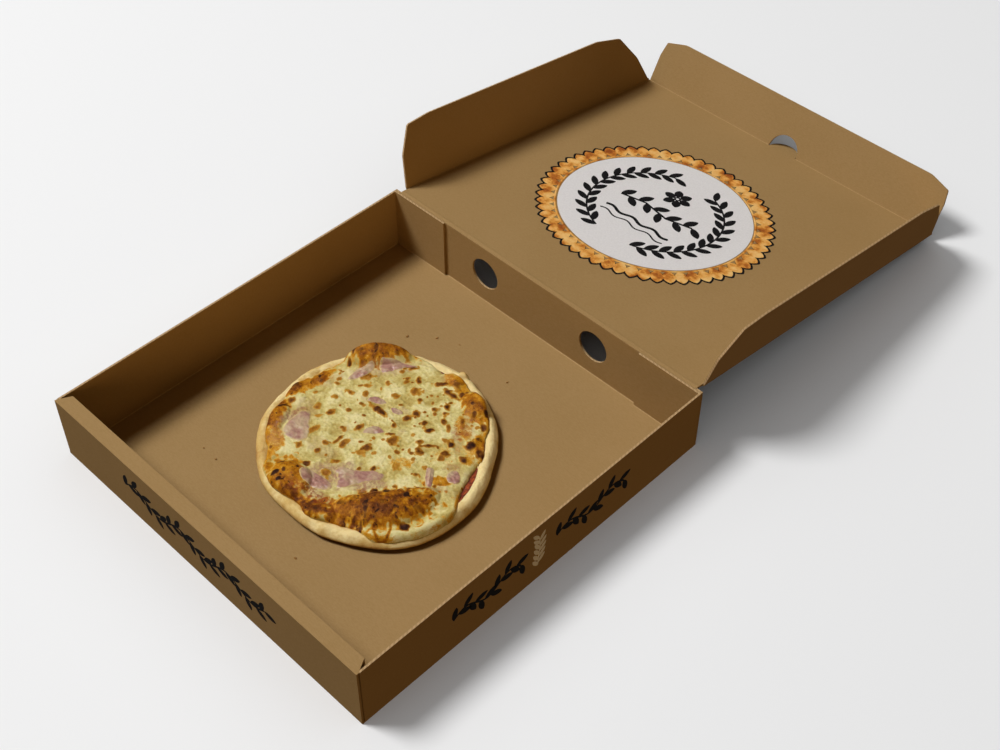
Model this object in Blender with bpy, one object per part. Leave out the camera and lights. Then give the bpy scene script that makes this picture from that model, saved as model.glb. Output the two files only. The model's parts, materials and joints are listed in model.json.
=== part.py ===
"""A small ham and cheese pizza in its open takeaway box of corrugated kraft board.

The box is one folded sheet: a tray with a rolled front wall, and a lid with a
flap on each free side. The lid is folded back behind the tray. Metres, +Z up.
The origin is the middle of the tray's footprint, on the surface it stands on.
+Y runs from the tray's front wall to the lid, and +X to the right.
"""

import math

import bmesh
import bpy
import numpy as np
from mathutils import Matrix, Vector

# Board
BOARD = 0.0016
GAP = 0.0003

# Tray, outside sizes
TRAY_WIDTH = 0.330
TRAY_DEPTH = 0.3384
TRAY_HEIGHT = 0.0583
CORNER_FLAP = 0.058
CORNER_SEAM = 0.0008
ROLL_WIDTH = 0.0120
ROLL_TAPER = 0.0045
VENT_RADIUS = 0.0143
VENT_OFFSET = 0.0592
VENT_HEIGHT = 0.0312

# Lid
LID_HALF_WIDTH = 0.1595
LID_LENGTH = 0.3250
LID_TILT = -8.73
HINGE_SETBACK = 0.0013
TAB_RADIUS = 0.0143
NOTCH_RADIUS = 0.0150
SIDE_FLAP_HEIGHT = 0.0568
SIDE_FLAP_FLARES = {-1: 15.0, 1: 12.5}
SIDE_FLAP_SLIDE = 0.0035
FRONT_FLAP_HEIGHT = 0.0447
FRONT_FLAP_FLARE = 21.0
HINGE_CLEAR = 0.0052

# Pizza
PIZZA_CENTRE = (-0.0009, -0.0040)
PIZZA_RADIUS = 0.0936
OUTLINE_WAVES = ((2, 0.0027, -30.0), (3, 0.0019, -27.0), (4, 0.0007, -21.0), (9, 0.0005, 10.0))
SECTORS = 96
BASE_THICKNESS = 0.0070
RIM_HEIGHT = 0.0122
RIM_WIDTH = 0.0135
SAUCE_THICKNESS = 0.0010
SAUCE_INSET = 0.0124
CHEESE_THICKNESS = 0.0036
CHEESE_EDGE = 0.0013
CHEESE_MARGIN = 0.0105
CHEESE_RINGS = 25
UNDERSIDE_RINGS = 9
CHEESE_CLEAR = 0.0010
CHEESE_LIP = 0.0004
CHEESE_FOOT = 0.0010
CHEESE_COARSER = (0.45, 0.72)
HAM_THICKNESS = 0.0013

PIZZA_FLOOR = BOARD + GAP
TRAY_FRONT = -TRAY_DEPTH / 2
TRAY_BACK = TRAY_DEPTH / 2
HINGE_Y = TRAY_BACK + HINGE_SETBACK
HINGE_Z = TRAY_HEIGHT + GAP

# Where the cheese edge leaves its usual line: bearing, half width (degrees), extra margin
EDGE_MOVES = (
    (138.0, 17.0, -0.0095),
    (69.0, 12.0, -0.0060),
    (-39.0, 6.0, -0.0075),
    (-17.0, 11.0, -0.0080),
    (17.0, 11.0, 0.0060),
    (95.0, 10.0, -0.0030),
    (-150.0, 9.0, -0.0030),
    (-112.0, 9.0, -0.0035),
    (-75.0, 7.0, -0.0030),
)

# Baked bubbles: bearing (degrees), distance from the centre, half length along the rim,
# half width across it, height
BUBBLES = (
    (138.0, 0.0835, 0.0265, 0.0115, 0.0105),
    (-37.0, 0.0685, 0.0410, 0.0165, 0.0095),
    (-103.0, 0.0730, 0.0180, 0.0150, 0.0065),
    (-151.0, 0.0800, 0.0150, 0.0075, 0.0035),
    (69.0, 0.0800, 0.0150, 0.0110, 0.0065),
    (93.0, 0.0840, 0.0100, 0.0060, 0.0030),
    (-72.0, 0.0790, 0.0110, 0.0080, 0.0040),
)

# Ham slices: bearing (degrees), distance, length, width, turn from the radius (degrees)
HAM_SLICES = (
    (-144.0, 0.0615, 0.0370, 0.0220, 90.0),
    (149.0, 0.0650, 0.0240, 0.0080, 98.0),
    (124.0, 0.0690, 0.0270, 0.0080, 93.0),
    (-89.0, 0.0600, 0.0280, 0.0100, 106.0),
    (-56.0, 0.0420, 0.0350, 0.0100, 122.0),
    (139.0, 0.0380, 0.0140, 0.0070, 76.0),
    (162.0, 0.0065, 0.0165, 0.0070, 66.0),
    (111.0, 0.0296, 0.0100, 0.0060, 85.0),
    (0.0, 0.0560, 0.0180, 0.0060, -40.0),
    (9.0, 0.0690, 0.0120, 0.0090, 21.0),
)

KRAFT = ("kraft_board", (0.36, 0.22, 0.09), 0.85)
DOUGH = ("baked_dough", (0.72, 0.50, 0.24), 0.75)
SAUCE = ("tomato_sauce", (0.35, 0.05, 0.015), 0.45)
CHEESE = ("melted_cheese", (0.78, 0.60, 0.26), 0.40)
HAM = ("cooked_ham", (0.55, 0.27, 0.26), 0.40)


def clear_scene():
    """Remove every object, so that the part is all that the scene holds."""
    for thing in list(bpy.data.objects):
        bpy.data.objects.remove(thing, do_unlink=True)


def material(finish):
    """Return the Principled material of a (name, colour, roughness) finish, made once."""
    name, colour, roughness = finish
    found = bpy.data.materials.get(name)
    if found:
        return found
    made = bpy.data.materials.new(name)
    made.use_nodes = True
    shader = made.node_tree.nodes["Principled BSDF"]
    shader.inputs["Base Color"].default_value = (*colour, 1.0)
    shader.inputs["Roughness"].default_value = roughness
    shader.inputs["Metallic"].default_value = 0.0
    return made


def add_object(name, mesh_data, finish=None, parent=None, place=None):
    """Link a new object for a mesh, or an empty where mesh_data is None."""
    thing = bpy.data.objects.new(name, mesh_data)
    bpy.context.scene.collection.objects.link(thing)
    if finish:
        mesh_data.materials.append(material(finish))
    if parent:
        thing.parent = parent
    if place is not None:
        thing.matrix_local = place
    return thing


def mesh_from_bmesh(name, shape):
    """Turn a bmesh into a mesh with its faces pointing out."""
    bmesh.ops.recalc_face_normals(shape, faces=shape.faces)
    made = bpy.data.meshes.new(name)
    shape.to_mesh(made)
    shape.free()
    return made


def slab(name, outline, thickness, axes):
    """Extrude a flat outline into a board.

    outline holds (u, v) pairs, axes the matrix that takes (u, v, w) to the object's
    own frame, and the board fills w from 0 to thickness.
    """
    shape = bmesh.new()
    low = [shape.verts.new(axes @ Vector((u, v, 0.0))) for u, v in outline]
    face = shape.faces.new(low)
    made = bmesh.ops.extrude_face_region(shape, geom=[face])
    lift = axes.to_3x3() @ Vector((0.0, 0.0, thickness))
    moved = [item for item in made["geom"] if isinstance(item, bmesh.types.BMVert)]
    bmesh.ops.translate(shape, verts=moved, vec=lift)
    return mesh_from_bmesh(name, shape)


def box(name, low, high):
    """Make a box mesh between two corners."""
    shape = bmesh.new()
    bmesh.ops.create_cube(shape, size=1.0)
    size = [high[i] - low[i] for i in range(3)]
    middle = [(high[i] + low[i]) / 2 for i in range(3)]
    bmesh.ops.scale(shape, verts=shape.verts, vec=size)
    bmesh.ops.translate(shape, verts=shape.verts, vec=middle)
    return mesh_from_bmesh(name, shape)


def cylinder(name, radius, length, centre, turn):
    """Make a cylinder mesh of 32 sides about a centre, its axis turned from +Z."""
    shape = bmesh.new()
    place = Matrix.Translation(centre) @ turn
    bmesh.ops.create_cone(
        shape,
        cap_ends=True,
        segments=32,
        radius1=radius,
        radius2=radius,
        depth=length,
        matrix=place,
    )
    return mesh_from_bmesh(name, shape)


def rounded_outline(corners):
    """Return an outline whose corners (u, v, radius) are replaced by arcs of five points."""
    points = []
    count = len(corners)
    for i, (u, v, radius) in enumerate(corners):
        here = np.array((u, v))
        if radius <= 0.0:
            points.append((u, v))
            continue
        to_last = np.array(corners[i - 1][:2]) - here
        to_next = np.array(corners[(i + 1) % count][:2]) - here
        to_last /= np.linalg.norm(to_last)
        to_next /= np.linalg.norm(to_next)
        half = math.acos(float(np.clip(to_last @ to_next, -1.0, 1.0))) / 2
        reach = radius / math.tan(half)
        bisector = (to_last + to_next) / np.linalg.norm(to_last + to_next)
        centre = here + bisector * radius / math.sin(half)
        start = here + to_last * reach - centre
        end = here + to_next * reach - centre
        first = math.atan2(start[1], start[0])
        sweep = (math.atan2(end[1], end[0]) - first + math.pi) % (2 * math.pi) - math.pi
        for step in range(5):
            angle = first + sweep * step / 4
            points.append((centre[0] + radius * math.cos(angle), centre[1] + radius * math.sin(angle)))
    return points


def arc(centre_u, centre_v, radius, start, end, steps=16):
    """Return points on an arc, angles in degrees."""
    angles = [math.radians(start + (end - start) * i / steps) for i in range(steps + 1)]
    return [(centre_u + radius * math.cos(a), centre_v + radius * math.sin(a)) for a in angles]


def apply_boolean(target, others, operation):
    """Fuse or cut a target with the others, apply the result and remove the others."""
    group = bpy.data.collections.new(target.name + "_tools")
    for other in others:
        bpy.context.scene.collection.objects.unlink(other)
        group.objects.link(other)
        other.hide_render = True
        other.display_type = "WIRE"
    bpy.context.scene.collection.children.link(group)
    modifier = target.modifiers.new(operation.lower(), "BOOLEAN")
    modifier.operation = operation
    modifier.operand_type = "COLLECTION"
    modifier.collection = group
    modifier.solver = "EXACT"
    bpy.context.view_layer.update()
    graph = bpy.context.evaluated_depsgraph_get()
    result = bpy.data.meshes.new_from_object(target.evaluated_get(graph))
    target.modifiers.clear()
    target.data = result
    for other in list(others):
        bpy.data.objects.remove(other, do_unlink=True)
    bpy.data.collections.remove(group)


def tray_walls():
    """Return the tray's boards as (name, low corner, high corner), all but the front roll."""
    side = TRAY_WIDTH / 2
    inside = side - BOARD
    front = TRAY_FRONT + BOARD
    back = TRAY_BACK - BOARD
    seam_y = front + CORNER_SEAM
    wall_back = back - GAP
    boards = [
        ("floor", (-side, TRAY_FRONT, 0.0), (side, TRAY_BACK, BOARD)),
        ("back_wall", (-side, back, 0.0), (side, TRAY_BACK, TRAY_HEIGHT)),
        ("front_wall", (-side + GAP, TRAY_FRONT, 0.0), (side - GAP, front, TRAY_HEIGHT)),
    ]
    for sign in (-1, 1):
        edge_x = sorted((sign * side, sign * inside))
        flap_x = sorted((sign * side, sign * (inside - CORNER_FLAP)))
        boards.append(("side_wall", (edge_x[0], seam_y, 0.0), (edge_x[1], wall_back, TRAY_HEIGHT)))
        boards.append(
            (
                "corner_flap",
                (flap_x[0], wall_back - BOARD, BOARD + GAP),
                (flap_x[1], wall_back, TRAY_HEIGHT),
            )
        )
    return boards


def front_roll():
    """Return the meshes of the front wall's top strip and the inner board that hangs from it."""
    outer_end = TRAY_WIDTH / 2 - GAP
    inner_end = TRAY_WIDTH / 2 - BOARD - ROLL_TAPER
    outer_y = TRAY_FRONT
    inner_y = TRAY_FRONT + ROLL_WIDTH
    strip = [
        (-outer_end, outer_y),
        (outer_end, outer_y),
        (outer_end, outer_y + BOARD),
        (inner_end, inner_y),
        (-inner_end, inner_y),
        (-outer_end, outer_y + BOARD),
    ]
    top = slab("roll_top", strip, BOARD, Matrix.Translation((0.0, 0.0, TRAY_HEIGHT - BOARD)))
    hang = box(
        "roll_inner",
        (-inner_end, inner_y - BOARD, BOARD + GAP),
        (inner_end, inner_y, TRAY_HEIGHT - BOARD / 2),
    )
    return [top, hang]


def build_tray():
    """Make the tray: floor, four walls, rear corner flaps, rolled front and two vents."""
    boards = [add_object(name, box(name, low, high)) for name, low, high in tray_walls()]
    boards += [add_object(data.name, data) for data in front_roll()]
    tray = add_object("tray", boards[0].data.copy(), KRAFT)
    bpy.data.objects.remove(boards.pop(0), do_unlink=True)
    apply_boolean(tray, boards, "UNION")
    turn = Matrix.Rotation(math.radians(90.0), 4, "X")
    cutters = []
    for sign in (-1, 1):
        centre = (sign * VENT_OFFSET, TRAY_BACK - BOARD / 2, VENT_HEIGHT)
        data = cylinder("vent_cutter", VENT_RADIUS, 4 * BOARD, centre, turn)
        cutters.append(add_object("vent_cutter", data))
    apply_boolean(tray, cutters, "DIFFERENCE")
    return tray


def build_lid_panel(hinge):
    """Make the lid's panel, with the half-moon tab that its thumb cut leaves at the far edge."""
    side = LID_HALF_WIDTH - GAP
    end = LID_LENGTH - GAP
    outline = [(-side, GAP), (side, GAP), (side, end)]
    outline += arc(0.0, end, TAB_RADIUS, 0.0, 180.0)
    outline += [(-side, end)]
    data = slab("lid_panel", outline, BOARD, Matrix.Translation((0.0, 0.0, -BOARD)))
    return add_object("lid_panel", data, KRAFT, hinge)


def side_flap_outline(slide):
    """Return a side flap's outline: distance from the hinge, height above the crease.

    slide moves the cut corners along the crease, because the two flaps are not cut quite alike.
    """
    top = SIDE_FLAP_HEIGHT
    return rounded_outline(
        (
            (HINGE_CLEAR, GAP, 0.0),
            (HINGE_CLEAR + 0.0003, 0.52 * top, 0.010),
            (0.0175 + slide, 0.95 * top, 0.003),
            (0.0420 + slide, top, 0.020),
            (0.2560 + slide, top, 0.030),
            (0.2880 + slide, 0.90 * top, 0.005),
            (0.3100 + 0.5 * slide, 0.46 * top, 0.020),
            (LID_LENGTH - 5 * GAP, GAP, 0.0),
        )
    )


def build_side_flap(name, hinge, sign):
    """Make a side flap on its crease; sign is -1 on the left and 1 on the right."""
    crease = Matrix.Translation((sign * LID_HALF_WIDTH, 0.0, 0.0))
    crease @= Matrix.Rotation(math.radians(sign * SIDE_FLAP_FLARES[sign]), 4, "Y")
    axes = Matrix(((0.0, 0.0, sign, 0.0), (1.0, 0.0, 0.0, 0.0), (0.0, 1.0, 0.0, 0.0), (0.0, 0.0, 0.0, 1.0)))
    data = slab(name, side_flap_outline(sign * SIDE_FLAP_SLIDE), BOARD, axes)
    return add_object(name, data, KRAFT, hinge, crease)


def build_front_flap(hinge):
    """Make the front flap on its crease, with the half-moon notch of the thumb cut."""
    side = LID_HALF_WIDTH - 3 * GAP
    top = FRONT_FLAP_HEIGHT
    right = (
        (side, GAP, 0.0),
        (side, 0.58 * top, 0.020),
        (side - 0.0025, 0.87 * top, 0.002),
        (side - 0.0220, top, 0.020),
    )
    left = tuple((-u, v, r) for u, v, r in reversed(right))
    outline = rounded_outline(right + left)
    outline += arc(0.0, GAP, NOTCH_RADIUS, 180.0, 0.0)
    axes = Matrix(((1.0, 0.0, 0.0, 0.0), (0.0, 0.0, 1.0, 0.0), (0.0, 1.0, 0.0, 0.0), (0.0, 0.0, 0.0, 1.0)))
    data = slab("lid_front_flap", outline, BOARD, axes)
    crease = Matrix.Translation((0.0, LID_LENGTH, 0.0))
    crease @= Matrix.Rotation(math.radians(-FRONT_FLAP_FLARE), 4, "X")
    return add_object("lid_front_flap", data, KRAFT, hinge, crease)


def build_lid():
    """Make the lid and its three flaps, all hung from the empty on the lid's hinge line."""
    place = Matrix.Translation((0.0, HINGE_Y, HINGE_Z))
    place @= Matrix.Rotation(math.radians(LID_TILT), 4, "X")
    hinge = add_object("lid_hinge_line", None, place=place)
    build_lid_panel(hinge)
    build_side_flap("lid_left_flap", hinge, -1)
    build_side_flap("lid_right_flap", hinge, 1)
    build_front_flap(hinge)


def bearings(sectors=SECTORS):
    """Return the bearings of a ring's points in radians."""
    return np.arange(sectors) * 2 * math.pi / sectors


def pizza_radius(angle):
    """Return the pizza's outer radius at a bearing: a hand-stretched, uneven round."""
    radius = np.full_like(angle, PIZZA_RADIUS)
    for count, swing, phase in OUTLINE_WAVES:
        radius += swing * np.cos(count * (angle - math.radians(phase)))
    return radius


def rim_lift(angle):
    """Return how high the rim stands at a bearing, as a share of its usual height."""
    return 1.0 + 0.07 * np.sin(3 * angle + 0.6) + 0.05 * np.sin(7 * angle + 2.0) + 0.03 * np.sin(13 * angle)


def dough_top(inset, angle):
    """Return the height of the dough's upper face, inset being the distance in from the outline."""
    across = np.clip(inset / RIM_WIDTH, 0.0, 1.0)
    crown = np.sin(np.pi * across**0.72)
    shoulder = 0.5 + 0.5 * np.cos(np.pi * across)
    rise = (RIM_HEIGHT - BASE_THICKNESS) * crown * rim_lift(angle)
    return PIZZA_FLOOR + BASE_THICKNESS * (1.0 - 0.35 * shoulder**6) + rise


def wrapped(angle, bearing):
    """Return the difference between angles and a bearing in degrees, from -180 to 180."""
    return (np.degrees(angle) - bearing + 180.0) % 360.0 - 180.0


def cheese_margin(angle):
    """Return how far in from the outline the cheese ends at each bearing."""
    margin = CHEESE_MARGIN + 0.0016 * np.sin(5 * angle + 1.0) + 0.0011 * np.sin(11 * angle + 0.4)
    margin += 0.0007 * np.sin(19 * angle)
    for bearing, half_width, extra in EDGE_MOVES:
        margin += extra * np.exp(-((wrapped(angle, bearing) / half_width) ** 2))
    return np.maximum(margin, 0.0018)


def bubble_lift(radius, angle):
    """Return how far the baked bubbles raise the cheese: rounded domes that lie along the rim."""
    lift = np.zeros_like(radius)
    for bearing, distance, half_length, half_width, height in BUBBLES:
        along = np.radians(wrapped(angle, bearing)) * distance / half_length
        across = (radius - distance) / half_width
        inside = np.clip(1.0 - along**2 - across**2, 0.0, 1.0)
        lift = np.maximum(lift, height * inside**0.7)
    return lift


def cheese_waves(x, y):
    """Return the gentle unevenness of the melted cheese."""
    broad = np.sin(210 * x + 1.0) * np.cos(170 * y - 0.5)
    fine = np.sin(520 * x + 330 * y) * np.cos(480 * y - 260 * x)
    return 0.0007 * broad + 0.0004 * fine


def cheese_floor(inset, angle):
    """Return the height of the cheese's underside, over the sauce inside and over the rim outside."""
    over_sauce = PIZZA_FLOOR + BASE_THICKNESS + SAUCE_THICKNESS + 2 * GAP
    return np.maximum(over_sauce, dough_top(inset, angle) + CHEESE_CLEAR)


def cheese_top(inset, angle, radius):
    """Return the height of the cheese's upper face."""
    depth = np.clip((inset - cheese_margin(angle)) / 0.006, 0.0, 1.0)
    body = CHEESE_EDGE + (CHEESE_THICKNESS - CHEESE_EDGE) * depth * (2 - depth)
    x = radius * np.cos(angle)
    y = radius * np.sin(angle)
    return cheese_floor(inset, angle) + body + bubble_lift(radius, angle) + cheese_waves(x, y) * depth


def ring(radius, height, angle):
    """Return a ring of points about the pizza's centre."""
    x = PIZZA_CENTRE[0] + radius * np.cos(angle)
    y = PIZZA_CENTRE[1] + radius * np.sin(angle)
    return np.column_stack((x, y, np.broadcast_to(height, radius.shape)))


def bridge(shape, first, second):
    """Join two rings with triangles; one ring may have half as many points as the other."""
    if len(first) < len(second):
        for i in range(len(first)):
            j = (i + 1) % len(first)
            k = (2 * i + 2) % len(second)
            shape.faces.new((first[i], second[2 * i], second[2 * i + 1]))
            shape.faces.new((first[i], second[2 * i + 1], first[j]))
            shape.faces.new((first[j], second[2 * i + 1], second[k]))
        return
    if len(first) > len(second):
        bridge(shape, second, first)
        return
    for i in range(len(first)):
        j = (i + 1) % len(first)
        shape.faces.new((first[i], second[i], second[j]))
        shape.faces.new((first[i], second[j], first[j]))


def skin(name, rings, low_centre, high_centre):
    """Close rings of points, ordered from the underside's middle round to the top's, into a mesh."""
    shape = bmesh.new()
    rows = [[shape.verts.new(point) for point in line] for line in rings]
    for first, second in zip(rows, rows[1:]):
        bridge(shape, first, second)
    for row, height in ((rows[0], low_centre), (rows[-1], high_centre)):
        hub = shape.verts.new((PIZZA_CENTRE[0], PIZZA_CENTRE[1], height))
        for i in range(len(row)):
            shape.faces.new((hub, row[i], row[(i + 1) % len(row)]))
    data = mesh_from_bmesh(name, shape)
    data.shade_smooth()
    data.set_sharp_from_angle(angle=math.radians(60.0))
    return data


def build_dough():
    """Make the thin dough base with its raised, uneven rim."""
    angle = bearings()
    outline = pizza_radius(angle)
    edge_height = PIZZA_FLOOR + 0.0044 * rim_lift(angle)
    rings = [
        ring(outline - 0.0040, PIZZA_FLOOR, angle),
        ring(outline - 0.0009, PIZZA_FLOOR + 0.0012, angle),
        ring(outline, edge_height, angle),
    ]
    for inset in np.array((0.05, 0.16, 0.30, 0.45, 0.60, 0.76, 0.90, 1.0)) * RIM_WIDTH:
        rings.append(ring(outline - inset, dough_top(np.full_like(angle, inset), angle), angle))
    middle = PIZZA_FLOOR + BASE_THICKNESS
    return add_object("pizza_dough", skin("pizza_dough", rings, PIZZA_FLOOR, middle), DOUGH)


def build_sauce():
    """Make the thin layer of tomato sauce that shows between the cheese and the rim."""
    angle = bearings()
    edge = pizza_radius(angle) - SAUCE_INSET - 0.0012
    low = PIZZA_FLOOR + BASE_THICKNESS + GAP
    rings = [ring(edge, low, angle), ring(edge, low + SAUCE_THICKNESS, angle)]
    data = skin("tomato_sauce", rings, low, low + SAUCE_THICKNESS)
    return add_object("tomato_sauce", data, SAUCE)


def cheese_ring(share, sectors):
    """Return a ring of the cheese's upper face, share running from its edge (0) to the middle (1)."""
    angle = bearings(sectors)
    outline = pizza_radius(angle)
    edge = cheese_margin(angle) + CHEESE_LIP
    inset = edge + (outline - edge) * share
    radius = outline - inset
    return ring(radius, cheese_top(inset, angle, radius), angle)


def build_cheese():
    """Make the melted cheese: a sheet over the sauce, its edge lapping the rim, raised by bubbles."""
    angle = bearings()
    outline = pizza_radius(angle)
    margin = cheese_margin(angle)
    inner = np.maximum(RIM_WIDTH, margin) + CHEESE_FOOT
    rings = []
    for share in np.linspace(1.0, 0.0, UNDERSIDE_RINGS) ** 1.5:
        inset = margin + (inner - margin) * share
        rings.append(ring(outline - inset, cheese_floor(inset, angle), angle))
    for step in range(CHEESE_RINGS):
        share = step / CHEESE_RINGS
        coarser = sum(share > limit for limit in CHEESE_COARSER)
        rings.append(cheese_ring(share, SECTORS // 2**coarser))
    low = PIZZA_FLOOR + BASE_THICKNESS + SAUCE_THICKNESS + 2 * GAP
    data = skin("melted_cheese", rings, low, low + CHEESE_THICKNESS)
    return add_object("melted_cheese", data, CHEESE)


def surface_height(thing, x, y):
    """Return the height of an object's top face at a point, read straight down.

    A ray that falls exactly on an edge can miss, so it is cast again a hair aside.
    """
    for aside in (0.0, 0.00002, 0.00005):
        hit, place, _, _ = thing.ray_cast((x + aside, y + aside, 0.2), (0.0, 0.0, -1.0))
        if hit:
            return place.z
    raise ValueError(f"nothing of {thing.name} lies under {x}, {y}")


def build_ham(index, cheese, bearing, distance, length, width, turn):
    """Make a torn slice of ham that lies on the cheese and follows it."""
    heading = math.radians(bearing + turn)
    middle_x = PIZZA_CENTRE[0] + distance * math.cos(math.radians(bearing))
    middle_y = PIZZA_CENTRE[1] + distance * math.sin(math.radians(bearing))
    sides = 18
    rows = []
    for share in (1.0, 0.66, 0.33):
        row = []
        for i in range(sides):
            a = 2 * math.pi * i / sides
            ragged = 1.0 + 0.10 * math.sin(3 * a + index) + 0.07 * math.sin(5 * a + 2.3 * index)
            u = 0.5 * length * share * ragged * math.cos(a)
            v = 0.5 * width * share * ragged * math.sin(a)
            x = middle_x + u * math.cos(heading) - v * math.sin(heading)
            y = middle_y + u * math.sin(heading) + v * math.cos(heading)
            row.append((x, y, surface_height(cheese, x, y)))
        rows.append(row)
    hub_z = surface_height(cheese, middle_x, middle_y)
    lift = 3 * GAP
    shape = bmesh.new()
    hubs = [shape.verts.new((middle_x, middle_y, hub_z + lift + extra)) for extra in (0.0, HAM_THICKNESS)]
    low = [[shape.verts.new((x, y, z + lift)) for x, y, z in row] for row in rows]
    high = [[shape.verts.new((x, y, z + lift + HAM_THICKNESS)) for x, y, z in row] for row in rows]
    bands = [(low[0], low[1]), (low[1], low[2]), (high[0], high[1]), (high[1], high[2]), (low[0], high[0])]
    for first, second in bands:
        for i in range(sides):
            j = (i + 1) % sides
            shape.faces.new((first[i], first[j], second[j]))
            shape.faces.new((first[i], second[j], second[i]))
    for hub, row in zip(hubs, (low[2], high[2])):
        for i in range(sides):
            shape.faces.new((hub, row[i], row[(i + 1) % sides]))
    name = f"ham_slice_{index}"
    return add_object(name, mesh_from_bmesh(name, shape), HAM)


def main():
    """Build the box, then the pizza in it."""
    clear_scene()
    build_tray()
    build_lid()
    build_dough()
    build_sauce()
    cheese = build_cheese()
    bpy.context.view_layer.update()
    for index, slice_sizes in enumerate(HAM_SLICES, start=1):
        build_ham(index, cheese, *slice_sizes)


main()
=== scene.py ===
"""Looks of a ham and cheese pizza in its open kraft takeaway box.

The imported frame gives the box's boards and the pizza's plain solids. This script dresses the boards
with procedural kraft, draws a plain decorative print on them, and puts a finely modelled pizza
over the plain one: dough, tomato sauce, melted cheese with baked bubbles and blisters, and ham.
Lengths are in metres unless a name says otherwise, and angles in degrees.
"""

import json
import logging
import math
from dataclasses import dataclass, field
from enum import Enum

import bmesh
import bpy
import numpy as np
from mathutils import Matrix, Vector
from mathutils.bvhtree import BVHTree

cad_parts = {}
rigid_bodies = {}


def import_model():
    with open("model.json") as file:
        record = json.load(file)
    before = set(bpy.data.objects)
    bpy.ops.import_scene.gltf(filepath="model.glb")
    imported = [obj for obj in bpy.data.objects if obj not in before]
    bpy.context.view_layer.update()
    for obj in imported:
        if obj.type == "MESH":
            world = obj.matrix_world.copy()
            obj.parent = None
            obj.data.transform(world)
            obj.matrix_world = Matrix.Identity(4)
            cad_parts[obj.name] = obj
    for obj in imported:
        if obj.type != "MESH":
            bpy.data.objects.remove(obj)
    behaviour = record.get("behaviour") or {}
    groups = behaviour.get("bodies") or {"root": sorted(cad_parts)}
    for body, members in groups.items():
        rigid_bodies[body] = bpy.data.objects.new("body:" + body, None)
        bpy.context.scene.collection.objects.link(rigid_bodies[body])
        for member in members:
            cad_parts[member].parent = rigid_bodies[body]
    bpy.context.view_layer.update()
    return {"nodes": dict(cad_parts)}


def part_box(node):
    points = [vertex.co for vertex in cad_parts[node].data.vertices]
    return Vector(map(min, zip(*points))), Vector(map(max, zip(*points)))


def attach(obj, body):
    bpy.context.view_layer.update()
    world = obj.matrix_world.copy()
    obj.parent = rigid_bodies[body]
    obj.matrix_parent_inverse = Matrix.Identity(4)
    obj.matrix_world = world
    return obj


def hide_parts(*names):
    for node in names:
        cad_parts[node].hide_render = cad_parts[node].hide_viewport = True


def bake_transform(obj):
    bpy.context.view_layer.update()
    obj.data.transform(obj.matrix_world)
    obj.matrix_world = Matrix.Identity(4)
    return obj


LOG = logging.getLogger("pizza_scene")
MILLIMETRE = 0.001
OVERHEAD = Vector((0.0, 0.0, 1.0))
FOOD = ("dough_with_rim", "tomato_sauce_layer", "melted_cheese_sheet", "ham_piece")
Piece = bpy.types.Object
Finish = bpy.types.Material
Array = np.ndarray


class Body(str, Enum):
    """The frame's bodies that pieces ride on."""

    TRAY = "tray_and_pizza"
    LID = "lid"
    LEFT_FLAP = "left_flap"
    RIGHT_FLAP = "right_flap"
    FRONT_FLAP = "front_flap"


class Slot(str, Enum):
    """The record's material slots."""

    KRAFT = "kraft_board"
    DOUGH = "baked_dough"
    SAUCE = "tomato_sauce"
    CHEESE = "melted_cheese"
    HAM = "cooked_ham"


@dataclass(frozen=True)
class Colour:
    """A linear colour.

    Args:
        red: red share.
        green: green share.
        blue: blue share.
    """

    red: float
    green: float
    blue: float

    @property
    def rgba(self) -> tuple:
        """Return the colour with full cover, as a socket takes it."""
        return (self.red, self.green, self.blue, 1.0)

    def times(self, red: float, green: float, blue: float) -> "Colour":
        """Return the colour with each share multiplied."""
        return Colour(self.red * red, self.green * green, self.blue * blue)


Socket = bpy.types.NodeSocket
Feed = Socket | Colour | float | tuple


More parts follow.
